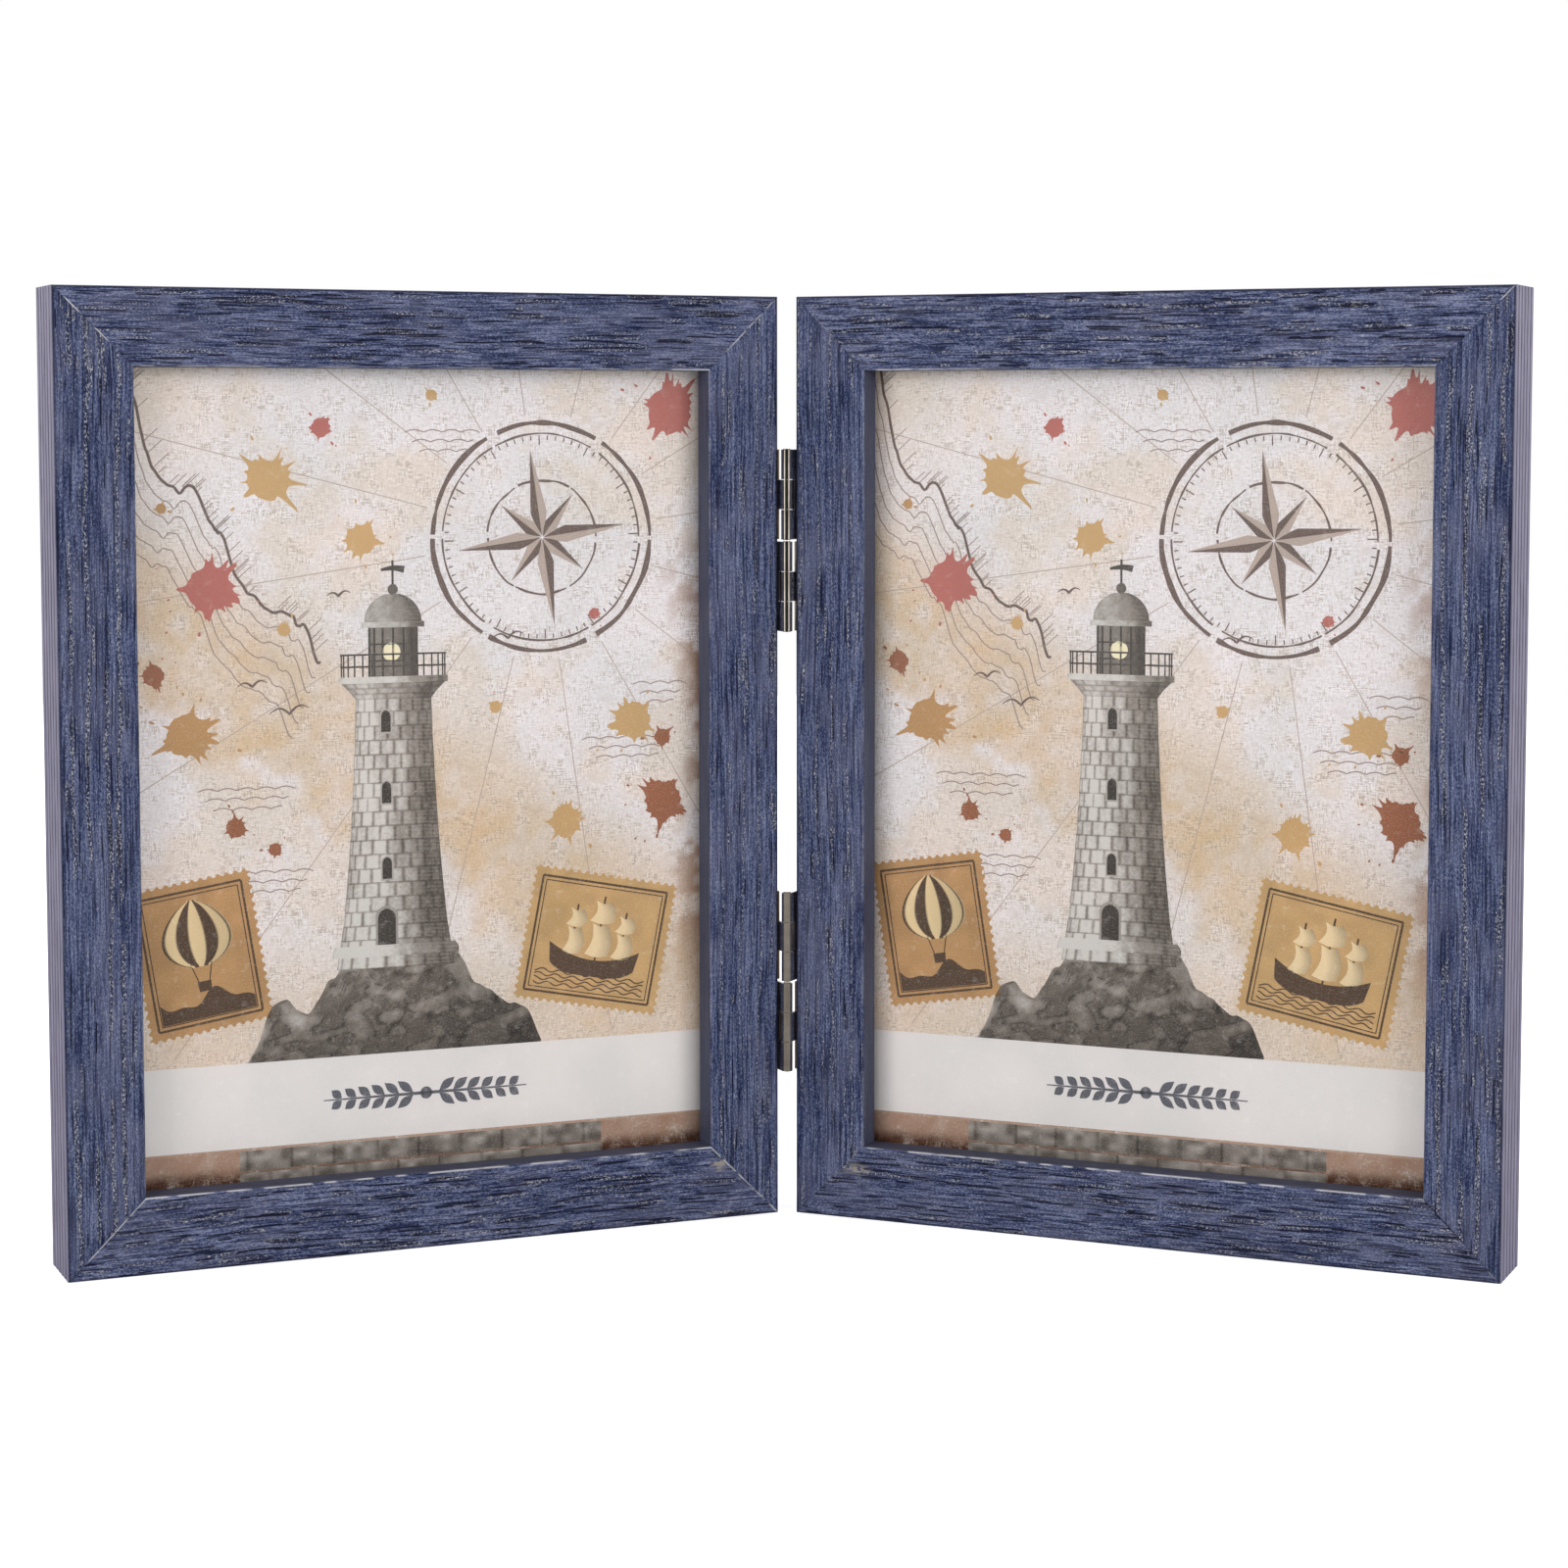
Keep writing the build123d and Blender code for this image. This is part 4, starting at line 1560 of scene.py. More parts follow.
        # Place across, place up, size and colour of each blot
        blots = (
            (112.0, 96.0, 4.0, self.ochre), (30.0, 150.0, 4.3, self.ochre), (50.0, 137.0, 3.2, self.ochre),
            (17.0, 127.0, 4.8, self.red), (41.5, 161.0, 2.0, self.red), (121.0, 165.0, 5.0, self.red),
            (12.0, 96.0, 4.4, self.tan), (96.0, 74.0, 3.4, self.ochre), (119.0, 78.0, 4.2, self.rust),
            (5.0, 109.0, 2.2, self.rust), (33.0, 118.0, 1.4, self.ochre), (80.0, 100.0, 1.3, self.ochre),
            (103.0, 120.0, 1.2, self.red), (22.0, 76.0, 2.0, self.rust), (30.5, 71.0, 1.4, self.rust),
            (119.0, 92.0, 1.8, self.rust), (66.0, 168.0, 1.2, self.ochre), (7.0, 144.0, 1.1, self.tan),
        )
        angle = np.linspace(0, 2 * math.pi, 120, endpoint=False)
        for x, z, size, tint in blots:
            radius = size * (0.92 + 0.16 * lattice_noise(angle * 5, 0, int(draw.integers(1000))))
            for _ in range(int(4 + size * 3.5)):
                at = draw.uniform(0, 2 * math.pi)
                tall, thin = size * draw.uniform(0.12, 0.75), draw.uniform(0.03, 0.07)
                gap = np.angle(np.exp(1j * (angle - at)))
                radius = radius + tall * np.exp(-np.abs(gap) / thin)
            ink.disc((x, z), radius, tint, 4)
            for _ in range(int(size * 1.6)):
                at, far = draw.uniform(0, 2 * math.pi), size * draw.uniform(1.7, 2.7)
                drop = draw.uniform(0.12, 0.42) * (1 + 0.3 * np.cos(2 * (angle[::8] - at)))
                ink.disc((x + far * math.cos(at), z + far * math.sin(at)), drop, tint, 4, rings=2)

    def lay_stage(self, ink: Ink, stage: Stage) -> None:
        """Lay one stage of the tower: a grid, across from -1 to 1 and up from 0 to 1.

        Formula: the half width is a function of height. The shade is that of a round tower lit from the
        left, broken by courses of stone with staggered joints, by stains, grit and hatching.

        Args:
            ink: Where the plate is gathered.
            stage: The stage.
        """
        rows, cols = stage.grid
        up, across = np.linspace(0, 1, rows)[:, None], np.linspace(-1, 1, cols)[None, :]
        half = np.interp(up, np.linspace(0, 1, len(stage.half_widths)), stage.half_widths)
        px = self.tower_at + half * across
        pz = stage.low + (stage.high - stage.low) * up + 0 * across

        # Light falls from the left, and a little comes back from the right
        turn = np.arcsin(np.clip(across, -1, 1))
        light = 0.30 + 0.70 * np.clip(np.cos(turn + 0.75), 0, 1) ** 0.9
        light = light + 0.10 * np.clip(np.cos(turn - 1.35), 0, 1)

        # Courses of stone, nine stones to the half round, each course set off by half a stone
        level = (pz - stage.low) / stage.course
        row = np.floor(level)
        place = (turn / math.pi + 0.5) * 9 + 0.5 * (row % 2)
        joint = np.minimum(to_whole(level) * stage.course, to_whole(place) * 1.6)
        tone = wander(np.floor(place) + 0.5 + 7 * row, row * 1.7, stage.seed)
        light = light * (1 + stage.stones * (0.32 * tone - 0.45 * bell(joint, 0.16)))

        # Stains that run down, grit, and hatching in the shade
        stain = wander(px / 1.3, pz / 9, stage.seed + 1)
        grit = wander(px * 2.1, pz * 2.1, stage.seed + 2)
        hatch = np.sin(pz * 7.5 + 1.5 * across) * smooth_step(0.75, 0.3, light)
        light = stage.bright * (light + 0.22 * stain + 0.16 * grit + 0.07 * hatch)
        ink.patch(px, pz, self.stone(np.clip(light, 0.02, 1)), stage.layer)

    def rocks(self, ink: Ink) -> None:
        """The rocks under the tower.

        Formula: the crest is a bell over the width plus lattice noise, eased to the foot at both ends. The
        shade comes from slanting strata, facets and cracks, all of them lattice noise.

        Args:
            ink: The plates that it joins.
        """
        ridge, rise = np.linspace(0, 1, 130)[None, :], np.linspace(0, 1, 60)[:, None]
        foot = 24.5
        crest = 38 + 13 * bell(ridge - 0.5, 0.23) + 9 * (lattice_noise(ridge * 9, 0, 61) - 0.6)
        crest = crest + 3.0 * wander(ridge * 30, 0, 62)
        height = (crest - foot) * rise * smooth_step(-0.02, 0.10, ridge) * smooth_step(1.02, 0.90, ridge)
        px, pz = 24 + 66 * ridge + 0 * rise, foot + height
        strata = lattice_noise(px / 4.2 + pz / 7, pz / 2.2 - px / 9, 63)
        facet = strata + 0.5 * lattice_noise(px / 1.2, pz / 1.1, 64)
        crack = bell(strata - 0.5, 0.035) + 0.6 * bell(facet - 0.62, 0.03)
        light = 0.14 + 0.55 * facet * (0.45 + 0.55 * rise) - 0.25 * smooth_step(0.5, 1.0, ridge)
        light = light - 0.28 * crack + 0.12 * wander(px * 2.3, pz * 2.3, 65)
        ink.patch(px, pz, self.stone(np.clip(light, 0.02, 0.95)), 5)

    def opening(self, ink: Ink, at: tuple, half_width: float, *plates: tuple) -> None:
        """Lay round-headed plates over one another, upright to seven tenths of their height.

        Args:
            ink: Where the plates are gathered.
            at: The middle of the sill.
            half_width: Half the width of the opening.
            plates: For each plate its share of that width, rise of the sill, height, lightness and layer.
        """
        rise, across = np.linspace(0, 1, 14)[:, None], np.linspace(-1, 1, 6)[None, :]
        head = np.sqrt(np.clip(1 - ((rise - 0.7) / 0.3) ** 2, 0.02, 1))
        half = np.where(rise < 0.7, half_width, half_width * head)
        for share, lift, height, light, layer in plates:
            px, pz = at[0] + share * half * across, at[1] + lift + height * rise + 0 * across
            ink.patch(px, pz, self.stone(light), layer)

    def lantern(self, ink: Ink) -> None:
        """The bars and the lamp of the lantern, and the railing of the gallery round it.

        Args:
            ink: The plates that it joins.
        """
        centre, deck, rail = self.tower_at, self.gallery, 112.2
        for k in range(7):
            x = centre + 5.5 * math.sin(math.radians(-75 + 25 * k))
            ink.bar((x, deck), (x, self.eaves), 8, 0.45, self.stone(0.12), 7)
        for z in (110.8, 114.4):
            ink.bar((centre - 5.5, z), (centre + 5.5, z), 8, 0.35, self.stone(0.15), 7)
        ink.disc((centre - 0.4, 112.7), np.full(24, 2.0), self.lamp, 7, rings=2)
        for k in range(15):
            x = centre + 11.6 * math.sin(math.radians(-84 + 12 * k))
            ink.bar((x, deck), (x, rail), 6, 0.32, self.stone(0.16), 9)
        for z in (109.6, rail):
            ink.bar((centre - 11.8, z), (centre + 11.8, z), 12, 0.4, self.stone(0.2), 9)

    def lighthouse(self, ink: Ink) -> None:
        """A stone lighthouse on rocks, shaded like an engraving, from the foot to the vane.

        Args:
            ink: The plates that it joins.
        """
        centre, deck, eaves, sill = self.tower_at, self.gallery, self.eaves, self.door_sill
        self.rocks(ink)
        shaft = Stage(44, 104, (13.2, 11.6, 10.6, 9.8, 9.2, 8.7, 8.4), (300, 90), layer=6, course=3.1)
        plinth = Stage(46.5, sill, (14.2, 14.2, 13.4), (12, 60), layer=7, course=9.0, bright=1.1,
                       stones=0.2, seed=71)
        self.lay_stage(ink, shaft)
        self.lay_stage(ink, plinth)
        for z in (63.0, 79.5, 95.0):
            self.opening(ink, (centre - 1.8, z), 1.05, (1.35, 0.0, 5.4, 0.78, 7), (1.0, 0.4, 4.7, 0.08, 8))
        self.opening(ink, (centre - 2.0, sill), 2.0, (1.25, 0.0, 8.6, 0.7, 7), (1.0, 0.0, 7.9, 0.1, 8))

        corbel = Stage(102.5, 106, (8.4, 9.8, 11.6), (20, 70), layer=7, course=1.2, bright=0.85,
                       stones=0.6, seed=72)
        slab = Stage(106, deck, (12.2, 12.2), (6, 60), layer=8, course=3.0, bright=1.1, stones=0.0, seed=73)
        room = Stage(deck, eaves, (5.6, 5.5), (40, 40), layer=6, course=12.0, bright=0.55,
                     stones=0.0, seed=74)
        for stage in (corbel, slab, room):
            self.lay_stage(ink, stage)
        self.lantern(ink)

        ring = Stage(eaves, 119.2, (7.0, 7.0), (6, 40), layer=8, course=3.0, stones=0.0, seed=75)
        dome = Stage(119.2, 125.2, tuple(6.4 * np.sqrt(1 - np.linspace(0, 0.97, 14) ** 2)), (30, 50),
                     layer=7, course=20.0, bright=0.8, stones=0.0, seed=76)
        self.lay_stage(ink, ring)
        self.lay_stage(ink, dome)
        ink.disc((centre, 126.2), np.full(24, 1.15), self.stone(0.35), 8, rings=2)
        ink.bar((centre, 126.8), (centre, 132.5), 6, 0.5, self.stone(0.15), 7)
        q = np.linspace(0, 1, 12)
        ink.stroke(centre - 2.6 + 5.2 * q, 130.4 + 0.4 * np.sin(3 * q), 0.6 + 0.9 * q, self.stone(0.15), 8)

    def stone(self, light: np.ndarray | float) -> np.ndarray:
        """Turn a lightness from 0 to 1 into the print's warm greys, from near black to pale.

        Args:
            light: The lightness.

        Returns:
            Linear colours of shape (..., 4).
        """
        tones = np.array(self.stones)
        place = np.linspace(0, 1, len(tones))
        return np.stack([np.interp(light, place, tones[:, k]) for k in range(4)], -1)

    def gulls(self, ink: Ink) -> None:
        """Gulls in flight: two bowed wings each, thick at the body and thin at the tips.

        Args:
            ink: The plates that it joins.
        """
        q = np.linspace(-1, 1, 25)
        for x, z, size in ((34, 100, 4.4), (26, 106, 3.2), (83, 115, 3.6), (45, 125, 2.6)):
            lift = np.abs(np.sin(q * 2.6)) * (1 - 0.35 * np.abs(q))
            rise, width = 0.42 * size * lift, 0.16 + 0.42 * (1 - np.abs(q))
            ink.stroke(x + size * q, z + rise + 0.12 * size * q, width, self.sepia, 5)

    def stamp_base(self, ink: Ink, at: tuple, size: tuple, lean: float, tint: tuple) -> Callable:
        """A perforated stamp.

        Formula: a point of the edge is the rectangle's, drawn in by a round bite at every step along it.

        Args:
            ink: Where the plates are gathered.
            at: Its middle on the sheet.
            size: Its width and height.
            lean: How far it leans to the left, in degrees.
            tint: Its colour.

        Returns:
            A function that puts the stamp's own coordinates on the sheet.
        """
        turn = math.radians(lean)
        half_u, half_v = size[0] / 2, size[1] / 2
        step, bite = 1.9, 0.62
        grid_step = step / 8

        def put(u: np.ndarray, v: np.ndarray) -> tuple[np.ndarray, np.ndarray]:
            """Lean the stamp's own coordinates and move them to their place."""
            right, up = u * math.cos(turn) - v * math.sin(turn), u * math.sin(turn) + v * math.cos(turn)
            return at[0] + right, at[1] + up

        def nick(place: np.ndarray) -> np.ndarray:
            """Depth of the bites along an edge."""
            off = to_whole(place / step) * step
            return np.sqrt(np.clip(bite ** 2 - off ** 2, 0, None))

        v = np.linspace(-1, 1, round(size[1] / grid_step))[:, None]
        u = np.linspace(-1, 1, round(size[0] / grid_step))[None, :]
        u_flat, v_flat = u * half_u, v * half_v
        pull_u, pull_v = nick(v_flat) * np.abs(u) ** 14, nick(u_flat) * np.abs(v) ** 14
        x, z = u_flat - np.sign(u) * pull_u, v_flat - np.sign(v) * pull_v
        mottled = wander(x / 3, z / 3, int(at[0]))
        shade = (1 + 0.22 * mottled)[..., None] * np.array([1, 1, 1, 0]) + np.array([0, 0, 0, 1])
        ink.patch(*put(x, z), np.array(tint) * shade, 5)
        q = np.linspace(0, 1, 12)
        for inset, width in ((2.2, 0.5), (3.1, 0.25)):
            a, b = half_u - inset, half_v - inset
            corners = ((-a, -b), (a, -b), (a, b), (-a, b), (-a, -b))
            for start, end in zip(corners, corners[1:]):
                px, pz = put(start[0] + (end[0] - start[0]) * q, start[1] + (end[1] - start[1]) * q)
                ink.stroke(px, pz, width, self.umber, 6)
        return put

    def ship_stamp(self, ink: Ink) -> None:
        """A stamp with a sailing ship: curved hull, three bellied sails, masts and waves.

        Args:
            ink: The plates that it joins.
        """
        put = self.stamp_base(ink, (103.0, 47.0), (34.0, 30.0), -11.0, self.ochre)
        q, across = np.linspace(0, 1, 20)[:, None], np.linspace(0, 1, 12)[None, :]
        hull_u = -10 + 20 * q + 0 * across
        deck = -4.5 + 5.0 * (2 * q - 1) ** 2 * 0.6
        hull_v = deck * across + (-8.2 + 2.2 * (2 * q - 1) ** 4) * (1 - across)
        ink.patch(*put(hull_u + 1.5 * (q - 0.5) * across, hull_v), self.umber, 7)
        up, side = np.linspace(0, 1, 14)[:, None], np.linspace(-1, 1, 12)[None, :]
        shade = np.clip(0.95 - 0.35 * side - 0.2 * up, 0.3, 1)[..., None]
        canvas = np.array(self.umber) * (1 - shade) + np.array(self.sail) * shade
        boom = -3.4
        for mast, tall in ((-5.5, 7.5), (0.5, 10.0), (6.2, 7.0)):
            ink.stroke(*put(np.full(8, mast), np.linspace(-5, tall, 8)), 0.45, self.umber, 6)
            half = (2.7 - 0.8 * up) * (0.8 if tall < 9 else 1.0)
            u = mast + half * side + 0.9 * np.sin(math.pi * up)
            for low, share in ((boom, 0.52), (boom + 0.56 * (tall - boom), 0.34)):
                high = low + share * (tall - boom)
                v = low + (high - low) * up - 0.35 * np.cos(side * 2)
                ink.patch(*put(u, v), canvas, 7)
        q = np.linspace(-1, 1, 60)
        for row in range(4):
            wave = -8.0 - 0.95 * row + 0.35 * np.sin(q * 20 + row * 1.3)
            ink.stroke(*put(13 * q, wave), 0.3, self.umber, 8)

    def balloon_stamp(self, ink: Ink) -> None:
        """A stamp with a balloon: a drop-shaped envelope in gores, cords and a basket, over hills.

        Args:
            ink: The plates that it joins.
        """
        put = self.stamp_base(ink, (14.0, 49.0), (27.0, 33.0), 9.0, self.tan)
        up, side = np.linspace(0, 1, 40)[:, None], np.linspace(-1, 1, 33)[None, :]
        half = 7.6 * np.sin(math.pi * np.clip(up, 0.02, 0.985) ** 0.78) ** 0.62
        gore = (np.floor((np.arcsin(side) / math.pi + 0.5) * 7) % 2)[..., None]
        shade = np.clip(0.85 - 0.45 * side, 0.2, 1)[..., None] * (1 + 0 * up[..., None])
        tint = np.array(self.umber) * (1 - gore) + np.array(self.gore) * gore
        tint = tint * (0.55 + 0.45 * shade)
        tint[..., 3] = 1.0
        ink.patch(*put(half * side, -2.2 + 14.4 * up + 0 * side), tint, 7)
        for foot in (-1.2, 1.2):
            cord = put(np.linspace(foot * 1.9, foot, 6), np.linspace(-1.4, -5.4, 6))
            ink.stroke(*cord, 0.25, self.umber, 7)
        grid, row = np.linspace(-1, 1, 6)[None, :], np.linspace(0, 1, 5)[:, None]
        ink.patch(*put((1.5 - 0.2 * (1 - row)) * grid, -7.6 + 2.2 * row + 0 * grid), self.umber, 7)
        q, lift = np.linspace(-1, 1, 50)[None, :], np.linspace(0, 1, 6)[:, None]
        crest = -9.2 + 1.6 * np.sin(q * 4.2 + 0.6) + 0.7 * np.sin(q * 9.0)
        ink.patch(*put(10.2 * q + 0 * lift, -13.2 + (crest + 13.2) * lift), self.umber, 6)

    def foot(self, ink: Ink) -> None:
        """The plain white band near the lower edge with a leaf ornament, and the stone quay below it.

        Args:
            ink: The plates that it joins.
        """
        across, up = np.linspace(-2.9, 129.9, 160)[None, :], np.linspace(0, 1, 14)[:, None]
        ink.patch(across + 0 * up, 6.8 + 18.4 * up + 0 * across, self.band, 8)

        # The ornament: a stem that is thick in the middle, six pairs of leaves to either side and a berry
        middle_x, middle_z = 63.5, 15.8
        q = np.linspace(-1, 1, 60)
        ink.stroke(middle_x + 23 * q, np.full(60, middle_z), 0.25 + 0.5 * (1 - np.abs(q)), self.grey, 9)
        run, wide = np.linspace(0, 1, 14)[:, None], np.linspace(-1, 1, 5)[None, :]
        off = 0.95 * np.sin(math.pi * np.clip(run, 0.03, 0.97)) * wide
        angle = math.radians(38)
        for k in range(1, 7):
            along = (4.6 - 0.3 * k) * run
            u = along * math.cos(angle) - off * math.sin(angle)
            v = along * math.sin(angle) + off * math.cos(angle)
            for side, rise in ((-1, -1), (-1, 1), (1, -1), (1, 1)):
                px, pz = middle_x + side * (2.2 + 3.2 * k + u - 2.4), middle_z + rise * (0.3 + v)
                ink.patch(px, pz, self.grey, 9)
        ink.disc((middle_x, middle_z), np.full(24, 1.35), self.grey, 9, rings=2)

        # Two courses of quay stones, the upper one set off by half a stone
        stone_length = 9.5
        grid, rise = np.linspace(0, 1, 160)[None, :], np.linspace(0, 1, 20)[:, None]
        for low, high, shift in ((-2.6, 1.4, 0.0), (1.9, 6.2, 0.5)):
            px, pz = 22 + 82 * grid + 0 * rise, low + (high - low) * rise + 0 * grid
            joint = to_whole(px / stone_length + shift) * stone_length
            light = 0.30 + 0.5 * (lattice_noise(px / 2.0, pz / 1.5, 81) - 0.3) + 0.2 * rise
            ink.patch(px, pz, self.stone(np.clip(light - 0.3 * bell(joint, 0.3), 0.03, 0.9)), 5)

    def build(self) -> list[bpy.types.Object]:
        """Lay all the ink of one print.

        Returns:
            The line work and the lighthouse.
        """
        drawing, tower = Ink(self.sheet), Ink(self.sheet)
        self.lines(drawing)
        self.rose(drawing)
        self.splats(drawing)
        self.gulls(drawing)
        self.ship_stamp(drawing)
        self.balloon_stamp(drawing)
        self.foot(drawing)
        self.lighthouse(tower)
        return [drawing.build("print_drawing"), tower.build("print_lighthouse")]


@dataclass(frozen=True)
class FloorFinish:
    """Pale matt floor that glows a little to the camera and is grey in mirrors."""

    name: str = "pale_floor"
    light: tuple = (0.93, 0.93, 0.93, 1)
    dim: tuple = (0.91, 0.91, 0.915, 1)
    mirrored: tuple = (0.30, 0.29, 0.28, 1)
    glow: float = 0.5

    def make(self) -> bpy.types.Material:
        """Build the material.

        Returns:
            The finished material.
        """
        n = NodeTree(bpy.data.materials.new(self.name))
        tint = n.mix(n.noise(n.place(), scale=3.0, detail=2), self.light, self.dim)
        path = n.node("LightPath").outputs
        colour = n.mix(path["Is Glossy Ray"], tint, self.mirrored)
        return n.shade(Base_Color=colour, Roughness=0.9, Emission_Color=(1, 1, 1, 1),
                       Emission_Strength=n.times(path["Is Camera Ray"], self.glow))


@dataclass(frozen=True)
class Softbox:
    """One rectangular softbox.

    It hangs at a place and faces a point, both in metres. Its size is width and height in metres, and its
    power is in watts. Mirrored says whether glass and metal mirror it.
    """

    name: str
    at: tuple
    aim: tuple
    size: tuple
    power: float
    mirrored: bool

    def hang(self) -> None:
        """Put the light into the scene, turned to the point it faces."""
        data = bpy.data.lights.new(self.name, "AREA")
        data.shape = "RECTANGLE"
        data.size, data.size_y = self.size
        data.energy = self.power
        light = bpy.data.objects.new(self.name, data)
        light.location = self.at
        light.visible_glossy = self.mirrored
        away = np.array(self.at) - np.array(self.aim)
        flat = math.hypot(away[0], away[1])
        light.rotation_euler = (math.atan2(flat, away[2]), 0.0, math.atan2(away[1], away[0]) + math.pi / 2)
        bpy.context.scene.collection.objects.link(light)


@dataclass
class Studio:
    """Camera, pale floor, soft lights and a bright world.

    Surround, ceiling and panel are how bright the world is all round, overhead and on its two panels. Wing is
    the share of the light that is left in the dark stretch.
    """

    camera_at: tuple = (0.008013, -0.722485, 0.177176)
    pitch_down: float = math.radians(4.395)
    yaw: float = math.radians(-0.182)
    lens: float = 76.64
    centre_px: tuple = (828.7, 699.6)
    photo_px: float = 1600.0
    surround: float = 0.95
    ceiling: float = 0.85
    panel: float = 1.5
    wing: float = 0.06
    floor_radius: float = 1.5
    floor_rings: int = 8
    floor_spokes: int = 96

    def build_camera(self) -> None:
        """Stand the camera where the photograph was taken from."""
        data = bpy.data.cameras.new("camera")
        data.lens = self.lens
        data.sensor_width = 36.0
        data.sensor_fit = "HORIZONTAL"
        data.shift_x = (self.photo_px / 2 - self.centre_px[0]) / self.photo_px
        data.shift_y = (self.centre_px[1] - self.photo_px / 2) / self.photo_px
        data.clip_start, data.clip_end = 0.01, 30.0
        camera = bpy.data.objects.new("camera", data)
        camera.location = self.camera_at
        camera.rotation_euler = (math.pi / 2 - self.pitch_down, 0.0, -self.yaw)
        bpy.context.scene.collection.objects.link(camera)
        bpy.context.scene.camera = camera

    def build_lights(self) -> None:
        """Two softboxes stand left and right of the camera, two light the back and one hangs overhead."""
        front, back = (0.9, 0.5), (0.7, 0.7)
        for word, side in (("left", -1), ("right", 1)):
            Softbox(f"softbox_{word}", (side * 0.95, -1.3, 0.45), (0, 0, 0.12), front, 13.0, False).hang()
            Softbox(f"back_{word}", (side * 0.8, 1.2, 0.7), (0, 0, 0.1), back, 6.0, True).hang()
        Softbox("overhead", (0, 0.1, 1.8), (0, 0, 0), (2.2, 1.8), 2.5, True).hang()

    def build_world(self) -> None:
        """A white surround with a dark stretch behind the camera and a bright panel either side of it.

        The brightness is a function of direction: front is the cosine of the angle to the camera's side,
        taken level, and up is the height of the direction.
        """
        world = bpy.data.worlds.new("studio")
        n = NodeTree(world)
        x, y, up = n.node("SeparateXYZ", Vector=n.node("TexCoord").outputs["Generated"]).outputs
        level = n.math("SQRT", n.plus(n.times(x, x), n.times(y, y)))
        front = n.math("DIVIDE", n.times(y, -1.0), n.math("MAXIMUM", level, 0.001))
        low_down = n.span(up, 0.2, 0.4, 1.0, 0.0)
        core = n.span(front, 0.81, 0.86)
        panel = n.minus(n.span(front, 0.52, 0.58), core)
        dim = n.minus(n.span(front, -0.2, 0.1), panel)
        strength = n.span(up, -0.1, 0.9, self.surround, self.ceiling)
        low = n.times(strength, n.minus(1.0, n.times(dim, 1 - self.wing)))
        low = n.plus(low, n.times(panel, self.panel - self.surround))
        high = n.times(strength, n.minus(1.0, low_down))
        strength = n.plus(n.times(low, low_down), high)

        # The camera itself sees plain white
        fill = n.node("Background", Strength=strength).outputs[0]
        white = n.node("Background", Color=(1, 1, 1, 1)).outputs[0]
        n.close(n.mix_shaders(n.node("LightPath").outputs["Is Camera Ray"], fill, white))
        bpy.context.scene.world = world

    def build_floor(self) -> None:
        """A round pale floor, its height zero all over: rings of points about the object."""
        radius = np.linspace(0, 1, self.floor_rings + 1)[1:, None] ** 1.5 * self.floor_radius
        angle = np.linspace(0, 2 * math.pi, self.floor_spokes + 1)[None, :-1]
        rings = np.stack([radius * np.cos(angle), radius * np.sin(angle), 0 * radius * angle], -1)
        points = np.concatenate([[[0, 0, 0]], rings.reshape(-1, 3)])
        index = 1 + np.arange(rings[..., 0].size).reshape(rings.shape[:2])
        index = np.concatenate([index, index[:, :1]], 1)
        quads = np.stack([index[:-1, :-1], index[1:, :-1], index[1:, 1:], index[:-1, 1:]], -1).reshape(-1, 4)
        fan = [[0, int(a), int(b)] for a, b in zip(index[0, :-1], index[0, 1:])]
        mesh = bpy.data.meshes.new("floor")
        mesh.from_pydata(points.tolist(), [], quads.tolist() + fan)
        floor = bpy.data.objects.new("floor", mesh)
        bpy.context.scene.collection.objects.link(floor)
        floor.data.materials.append(FloorFinish().make())

    def build(self) -> None:
        """Set up the whole studio."""
        self.build_camera()
        self.build_lights()
        self.build_world()
        self.build_floor()
        bpy.context.scene.view_settings.view_transform = "Standard"
        log.info("studio ready")


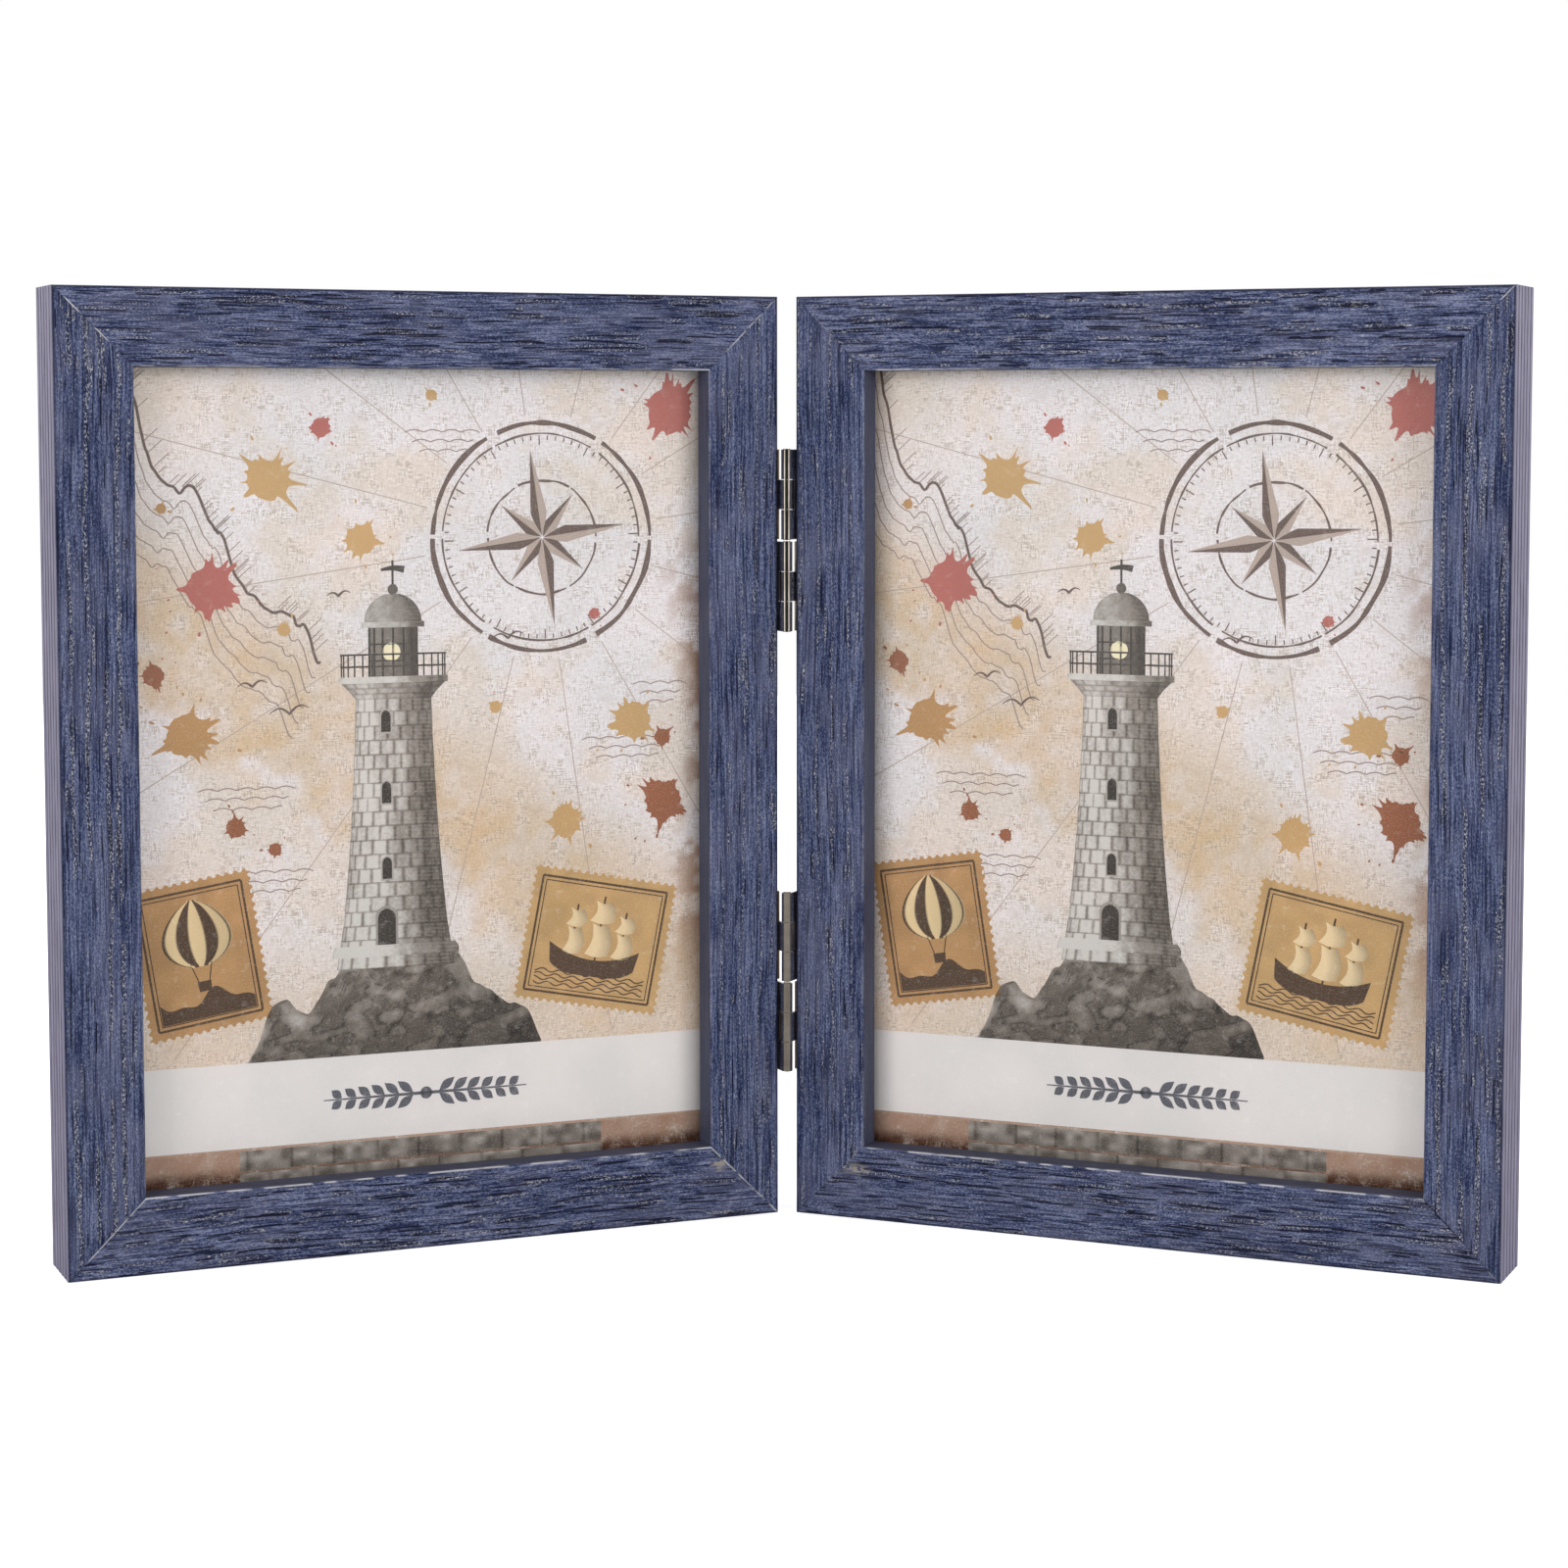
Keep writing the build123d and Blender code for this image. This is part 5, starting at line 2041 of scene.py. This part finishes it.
def dress(names: list[str], material: bpy.types.Material) -> None:
    """Give CAD nodes a finish.

    Args:
        names: Node names.
        material: The finish.
    """
    for name in names:
        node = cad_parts[name]
        if not node.data.materials:
            node.data.materials.append(material)
        for slot in node.material_slots:
            slot.material = material
        log.info("dressed %s with %s", name, material.name)


class Hardware:
    """The solids that stay as they are: glass, boards, pads, hinges, turn buttons, screws and nails."""

    nickel = MetalFinish("hinge_nickel", srgb(206, 198, 188), srgb(170, 160, 148),
                         rough=0.03, clouding=0.05, scratch=1.0)
    zinc = MetalFinish("zinc_plate", srgb(196, 198, 202), srgb(160, 164, 172),
                       rough=0.24, clouding=0.22, scratch=0.8, lines=(300, 300, 300))
    steel = MetalFinish("nail_steel", srgb(160, 160, 162), srgb(112, 110, 108),
                        rough=0.34, clouding=0.25, scratch=0.8, lines=(500, 500, 500))

    @staticmethod
    def matching(*words: str) -> list[str]:
        """Names of the CAD nodes that hold one of the words."""
        return [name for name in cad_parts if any(word in name for word in words)]

    def build(self) -> None:
        """Give each of them its finish."""
        dress(self.matching("_leaf", "_pin", "_hinge_screws"), self.nickel.make())
        dress(self.matching("_turn_button"), self.zinc.make())
        dress(self.matching("_nails"), self.steel.make())
        dress(self.matching("_glass"), GlassFinish().make())
        dress(self.matching("_backing_board"), BoardFinish().make())
        dress(self.matching("_filler_pad"), CardFinish().make())


def main() -> None:
    """Build the studio and the frame's pieces in order."""
    logging.basicConfig(level=logging.INFO, format="%(message)s")
    Studio().build()
    rail_film = FilmFinish("film_rails", stretch=1.0, fleck_share=0.03, middle=srgb(51, 60, 90),
                           pale=srgb(103, 109, 136)).make()
    stile_film = FilmFinish("film_stiles", stretch=0.5, fleck_share=0.0).make()
    paper, ink = PaperFinish().make(), InkFinish().make()
    for hand in Hand:
        place = HalfPlace(hand)
        for member in Member:
            piece = Moulding(member, place).build()
            piece.data.materials.append(stile_film if member.upright else rail_film)
            log.info("made %s with %d points", piece.name, len(piece.data.vertices))
        sheet = Sheet(place)
        card = Paper(sheet).build()
        card.data.materials.append(paper)
        for piece in SeaChart(sheet).build():
            piece.data.materials.append(ink)
            log.info("made %s with %d points", piece.name, len(piece.data.vertices))
    Hardware().build()


if __name__ == "__main__":
    main()
